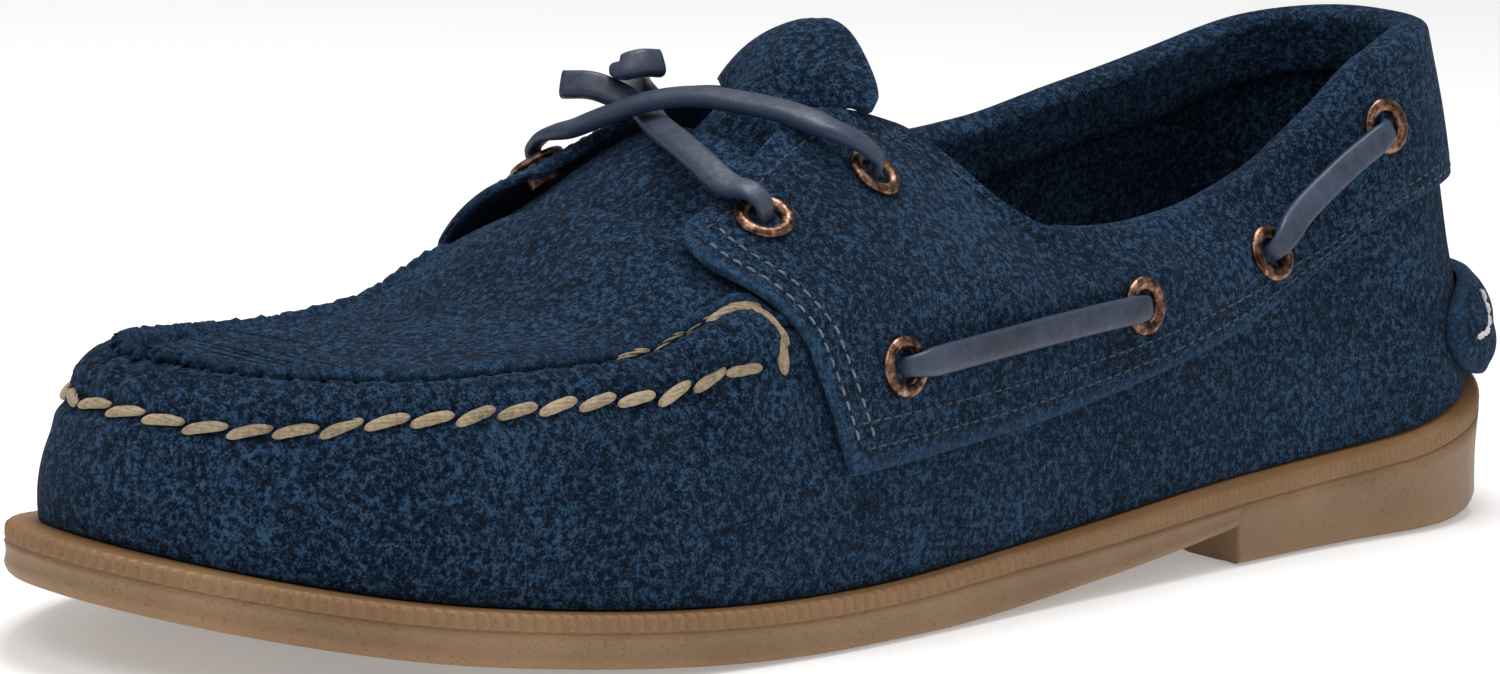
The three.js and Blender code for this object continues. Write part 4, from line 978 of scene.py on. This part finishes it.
def one_eyelet(name):
    section = ring_section()
    bpy.ops.mesh.primitive_circle_add(vertices=32, radius=section[0][0] * MM, location=(0, 0, 0))
    obj = bpy.context.object
    obj.name = name
    bpy.ops.object.mode_set(mode="EDIT")
    bpy.ops.mesh.select_all(action="SELECT")
    bpy.ops.transform.translate(value=(0, 0, section[0][1] * MM))
    for (r0, z0), (r1, z1) in zip(section, section[1:]):
        bpy.ops.mesh.extrude_region_move(TRANSFORM_OT_translate={"value": (0, 0, (z1 - z0) * MM)})
        bpy.ops.transform.resize(value=(r1 / r0, r1 / r0, 1), center_override=(0, 0, z1 * MM))
    bpy.ops.mesh.select_all(action="SELECT")
    bpy.ops.mesh.remove_doubles(threshold=2e-6)
    bpy.ops.mesh.normals_make_consistent(inside=False)
    bpy.ops.object.mode_set(mode="OBJECT")
    bpy.ops.object.shade_smooth_by_angle(angle=0.9)
    return obj

def turned(origin, n):
    x = unit(np.cross([0, 0, 1], n))
    frame_of = np.stack([x, np.cross(n, x), n], 1)
    return Matrix.Translation(Vector(origin * MM)) @ Matrix(frame_of.tolist()).to_4x4()

for name, (side, s, z) in seats.items():
    ring = one_eyelet("ring_" + name)
    ring.data.transform(turned(*seat_frame(side, s, z)))
    finish_piece(ring, aged_copper, "eyelet_metal", "eyelet_" + name)

# %% [markdown]
# The laces are flat strips of leather. A strip is a rounded section carried along a path, with the
# direction of its smooth face given at each point. It is squeezed where it goes through an eyelet.

# %% Strips of leather
def spline(rows, every=0.7):
    """Rows of numbers, point first, resampled along a smooth line."""
    rows = np.asarray(rows, float)
    step = np.maximum(np.linalg.norm(np.diff(rows[:, :3], axis=0), axis=1), 1e-6)
    at = np.concatenate([[0], np.cumsum(step)])
    slope = np.gradient(rows, at, axis=0)
    t = np.linspace(0, at[-1], max(12, int(at[-1] / every)))
    i = np.clip(np.searchsorted(at, t, side="right") - 1, 0, len(step) - 1)
    h = step[i][:, None]
    k = ((t - at[i]) / step[i])[:, None]
    return ((2 * k**3 - 3 * k**2 + 1) * rows[i] + (k**3 - 2 * k**2 + k) * h * slope[i]
            + (3 * k**2 - 2 * k**3) * rows[i + 1] + (k**3 - k**2) * h * slope[i + 1])

def strip(name, path, every=0.7):
    """path rows: x, y, z, outward x, y, z, width, thickness."""
    rows = spline(path, every)
    p, n, width, thick = rows[:, :3], unit(rows[:, 3:6]), rows[:, 6], rows[:, 7]
    along = unit(np.gradient(p, axis=0))
    side = unit(np.cross(along, n))
    up = np.cross(side, along)
    c = np.linspace(0, 2 * np.pi, 25)
    across = 0.5 * np.sign(np.cos(c)) * np.abs(np.cos(c)) ** 0.55
    rise = 0.5 * np.sign(np.sin(c)) * np.abs(np.sin(c)) ** 0.75
    rings = [p + side * (width * ca)[:, None] + up * (thick * cr)[:, None] for ca, cr in zip(across, rise)]
    body = np.stack(rings)[::-1]
    first, last = p[0] - along[0] * 0.15, p[-1] + along[-1] * 0.15
    body = np.concatenate([np.broadcast_to(first, (25, 1, 3)), body, np.broadcast_to(last, (25, 1, 3))], 1)
    fuzz = np.clip(smooth(0.40, 0.49, np.abs(across)) + 0.8 * (rise < -0.1), 0, 1)[::-1]
    edge = np.repeat(fuzz[:, None], body.shape[1], 1)
    edge[:, :2] = edge[:, -2:] = 1
    return join(name, [grid(name, body, {"edge": edge})], recalc=True), p

def side_lace(name, side, first, second):
    (_, s0, z0), (_, s1, z1) = seats[first], seats[second]
    span = np.linalg.norm(seat_frame(side, s1, z1)[0] - seat_frame(side, s0, z0)[0])
    # mm along, mm out of the leather, width and thickness shares
    end = [(0.0, -1.6, 0.68, 0.65), (0.1, 0.2, 0.70, 0.65), (0.7, 1.7, 0.74, 0.68), (2.0, 2.6, 0.84, 0.8),
           (4.4, 2.8, 0.98, 0.95), (7.5, 2.4, 1, 1)]
    free = end[-1][0]
    middle = [(lerp(free, span - free, k / 6), 2.3 - 0.5 * np.sin(np.pi * k / 6), 1, 1) for k in range(1, 6)]
    path = []
    for d, off, w, t in end + middle + [(span - d, *others) for d, *others in end[::-1]]:
        k = d / span
        p, n = seat_frame(side, lerp(s0, s1, k), lerp(z0, z1, k), SURFACE + off)
        path.append([*p, *n, w * LACE_WIDTH, t * LACE_THICK])
    return strip(name, path)[0]

for side, word in ((1, "outer"), (-1, "inner")):
    for where_, i, j in (("front", 1, 2), ("rear", 3, 4)):
        name = f"side_lace_{word}_{where_}"
        run = side_lace("strip_" + word + "_" + where_, side, f"side_{word}_{i}", f"side_{word}_{j}")
        finish_piece(run, lace_leather, "lace_leather", name)

# %% Laces over the throat
def over_rim(name, toward):
    """Out of an eyelet's bore and over its rim, towards a point."""
    origin, n = seat_frame(*seats[name])
    d = toward - origin
    t = unit(d - n * (d @ n))
    # along the lace and out of the eyelet in eyelet widths, width and thickness shares, turn of the face
    rows = [(0, -0.14, 0.68, 0.66, 0), (0, 0.08, 0.68, 0.66, 0), (0.06, 0.26, 0.72, 0.68, 0.4)]
    rows.append((0.32, 0.34, 0.85, 0.8, 1))
    return [[*(origin + (t * along + n * off) * EYELET_OUTER), *unit(lerp(-t, n, k)),
             w * LACE_WIDTH, th * LACE_THICK] for along, off, w, th, k in rows]

def throat_lace(name, start, points, end=None, faces=None):
    p = np.array(points) * [HB, LENGTH, HEEL_HEIGHT]
    face = [0, -0.35, 0.94]
    rows = [[*q, *(faces or {}).get(i, face), LACE_WIDTH, LACE_THICK * 1.15] for i, q in enumerate(p)]
    path = over_rim(start, p[0]) + rows + (over_rim(end, p[-1])[::-1] if end else [])
    return strip(name, path)

# points in half ball widths, lengths and heel heights
BAR = [
    [0.45, -0.0627, 0.9186],
    [0.313, -0.0712, 0.9384],
    [0.157, -0.0793, 0.9465],
    [0.0, -0.0895, 0.9488],
    [-0.157, -0.1024, 0.9302],
    [-0.274, -0.1125, 0.9],
    [-0.391, -0.1203, 0.8674],
]
END_1 = [
    [0.479, -0.1336, 0.8256],
    [0.313, -0.1302, 0.8558],
    [0.176, -0.1247, 0.8767],
    [0.049, -0.1169, 0.886],
    [-0.059, -0.1068, 0.8872],
    [-0.157, -0.0966, 0.8872],
    [-0.254, -0.0915, 0.9047],
    [-0.333, -0.0983, 0.9279],
    [-0.401, -0.1078, 0.9442],
    [-0.489, -0.1169, 0.9419],
]
END_2 = [
    [-0.489, -0.0627, 0.9302],
    [-0.411, -0.0773, 0.9605],
    [-0.352, -0.0898, 0.9721],
    [-0.313, -0.0983, 0.9837],
    [-0.28, -0.0915, 0.993],
    [-0.274, -0.078, 0.9907],
]
bar, _ = throat_lace("strip_bar", "throat_outer_upper", BAR, "throat_inner_lower")
finish_piece(bar, lace_leather, "lace_leather", "lace_bar")
for number, start, points in ((1, "throat_outer_lower", END_1), (2, "throat_inner_upper", END_2)):
    last = len(points) - 1
    flat = {last - 2: (0.40, -0.55, 0.70), last - 1: (0.58, -0.62, 0.50), last: (0.62, -0.62, 0.45)}
    piece, line = throat_lace(f"strip_end_{number}", start, points, faces=flat)
    finish_piece(piece, lace_leather, "lace_leather", f"lace_end_{number}")
    seat_frame(*seats[start])[0] * MM

# %% [markdown]
# The moccasin seam is sewn with a thick waxed thread, laid flat and twisted. One stitch is modelled,
# and a copy lies in the seam for each pitch, a little tilted, as the sewer's awl leaves it.

# %% Thread
def thread(name, dark, light, rough=0.6):
    made, tree, shader, where = material(name, rough)
    fine = noise(tree, where, 1300, 3, 0.6)
    broad = noise(tree, where, 110, 2, 0.6)
    tone = weigh(tree, (fine, 0.55), (broad, 0.45))
    tree.links.new(ramp(tree, tone, [(0.36, dark), (0.60, light)]), shader.inputs["Base Color"])
    shader.inputs["Sheen Weight"].default_value = 0.15
    bump(tree, shader, fine, 0.0003, 0.7)
    return made

tan_thread = thread("tan_thread", (0.19, 0.135, 0.080), (0.46, 0.355, 0.225))
grey_thread = thread("grey_thread", (0.07, 0.09, 0.12), (0.18, 0.22, 0.27))
navy_thread = thread("navy_thread", (0.010, 0.022, 0.042), (0.035, 0.052, 0.080))
pale_thread = thread("pale_thread", (0.40, 0.39, 0.42), (0.72, 0.70, 0.74))

def twisted_stitch(length, width, thick, strands=4, twist=0.35, round_by=33):
    """Points of one stitch along x, as a closed grid of rings."""
    x = np.linspace(-1, 1, 23)
    c = np.linspace(0, 2 * np.pi, round_by)
    taper = (1 - np.abs(x) ** 3.6) ** 0.62
    groove = 1 - 0.30 * np.abs(np.cos((c[None] - x[:, None] * twist * np.pi) * strands)) ** 4
    y = 0.5 * width * np.cos(c)[None] * taper[:, None] * groove
    z = 0.5 * thick * np.sin(c)[None] * taper[:, None] * groove - 0.18 * thick * (x[:, None] ** 2) * 2
    return np.stack(np.broadcast_arrays(0.5 * length * x[:, None], y, z), -1)

def sew(name, template, places):
    """Copies of one stitch, each at a point with a direction and a normal, as one piece."""
    copies = []
    for p, along, n in places:
        x = unit(along)
        z = unit(n - x * (n @ x))
        axes = np.stack([x, np.cross(z, x), z])
        copies.append(p + template @ axes)
    rows, columns = template.shape[:2]
    points = np.concatenate([c.reshape(-1, 3) for c in copies])
    faces = []
    one = [(r * columns + c, (r + 1) * columns + c, (r + 1) * columns + c + 1, r * columns + c + 1)
           for r in range(rows - 1) for c in range(columns - 1)]
    for k in range(len(copies)):
        faces += [tuple(i + k * rows * columns for i in f) for f in one]
    mesh = bpy.data.meshes.new(name)
    mesh.from_pydata((points * MM).tolist(), [], faces)
    obj = bpy.data.objects.new(name, mesh)
    bpy.context.collection.objects.link(obj)
    return join(name, [obj], merge=1e-6, recalc=True)

# %% Moccasin stitches
def seam_places():
    places = []
    for side in (1, -1):
        last = float(np.interp(angle(0.338), seam_a, seam_run[side])) / STITCH_PITCH
        for k in range(0 if side > 0 else 1, int(last) + 1):
            a = side * float(np.interp(k * STITCH_PITCH, seam_run[side], seam_a))
            at = float(stitch_v(a))
            n = unit(wall_normal(a, min(at, 0.985)) + np.array([0, 0, 0.35]))
            ahead = a + 0.02 * side
            along = unit(wall(ahead, stitch_v(ahead)) - wall(a, at))
            up = np.cross(n, along)
            up = up * np.sign(up[2])
            places.append((wall(a, at) + n * 0.35, along + up * (0.24 + 0.07 * np.sin(k * 2.3)), n))
    return places

def inner_places():
    """The same thread where it shows over the ridge, on the side of the plug, and round the ridge's end."""
    places = []
    for side, first, last in ((-1, 1, 17), (1, 13, 16)):
        for k in range(first, last):
            a = side * float(np.interp((k + 0.45) * STITCH_PITCH, seam_run[side], seam_a))
            inward = unit((seam_band(a, 1.5) - seam_band(a, 1.0)) * [1, 1, 0])
            lift = np.array([0, 0, BAND_LIP - (0.5 if side < 0 else -0.5)]) + inward * 0.7
            p, ahead = seam_band(a, 1.0) + lift, seam_band(a + 0.02 * side, 1.0) + lift
            places.append((p, unit(ahead - p) + np.array([0, 0, 0.12]), inward + np.array([0, 0, 0.7])))
    turn = [(0.318, 0.98), (0.330, 1.0), (0.339, 0.86), (0.345, 0.52), (0.3475, 0.05)]
    ends = [seam_band(float(angle(s)), t) + np.array([0.5, 0.2, 0.6 + 1.1 * t]) for s, t in turn]
    ends.append(wall(float(angle(0.347)), float(stitch_v(angle(0.347)))) + np.array([1.0, 0, 0]))
    for p, q in zip(ends, ends[1:]):
        places.append(((p + q) / 2, unit(q - p), np.array([0.75, -0.55, 0.5])))
    return places

stitches = sew("moccasin_stitches", twisted_stitch(7.5, 1.95, 1.4), seam_places() + inner_places())
finish_piece(stitches, tan_thread, "suede")

# %% [markdown]
# Fine rows of machine stitches hold the quarter's edges. They follow the edge at a set distance.

# %% Quarter stitches
FINE_PITCH, ROW_INSETS = 2.5, (2.6, 5.4)

def wall_row(a, v, off=SURFACE, sink=0.1):
    """Points, directions and normals for fine stitches along a line on the wall."""
    points, normals = on_wall(a, v, off), wall_normal(a, v)
    run = run_along(points)
    at = np.arange(FINE_PITCH, run[-1] - FINE_PITCH, FINE_PITCH)
    pick = lambda rows: np.stack([np.interp(at, run, rows[:, k]) for k in range(3)], -1)
    ahead = np.gradient(pick(points), axis=0)
    return list(zip(pick(points) + pick(normals) * sink, ahead, unit(pick(normals))))

def quarter_rows(low):
    places = []
    fine = np.linspace(0, 1, 700)
    first = ROW_INSETS[0] / QUARTER_RUN
    for inset in ROW_INSETS:
        if low:
            u = lerp(first, 1 - first, fine)
            w = np.full_like(fine, inset / QUARTER_RISE)
            a, v = quarter_spot(u, w)
            places += wall_row(a, v, sink=0.0)
            continue
        for end in (0, 1):
            w = lerp(0.06, 0.94, fine[::3])
            u = np.full_like(w, inset / QUARTER_RUN if end == 0 else 1 - inset / QUARTER_RUN)
            a, v = quarter_spot(u, w)
            places += wall_row(a, v)
    if low:
        for end in (0, 1):
            u = lerp(ROW_INSETS[0], 55, fine[::3]) / QUARTER_RUN
            a, v = quarter_spot(u if end == 0 else 1 - u, np.full_like(u, 0.93))
            places += wall_row(a, v)
    return places

small_stitch = twisted_stitch(1.8, 0.5, 0.45, strands=1, twist=0, round_by=9)[::3]
finish_piece(sew("edge_stitches", small_stitch, quarter_rows(False)), grey_thread, "suede")
finish_piece(sew("lower_stitches", small_stitch, quarter_rows(True)), navy_thread, "suede")

# %% Heel tab stitches
def tab_places():
    places = []
    turn = np.linspace(1.5, -2.3, 80)
    u, w = 0.065 + 0.05 * np.cos(turn), 0.67 + 0.22 * np.sin(turn)
    for mirror in (False, True):
        a, v, puff = tab_spot(1 - u if mirror else u, w)
        places += wall_row(a, v, SURFACE + puff * 0.7, 0.3)
    return places

heel_stitch = twisted_stitch(2.7, 1.2, 0.9, strands=2, twist=0.5, round_by=17)
finish_piece(sew("heel_tab_stitches", heel_stitch, tab_places()), pale_thread, "suede")

# %% Size and finish
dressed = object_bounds()
for word, box in (("cad", cad_box), ("visual", dressed)):
    print(word, [[round(c / MM, 1) for c in p] for p in box])
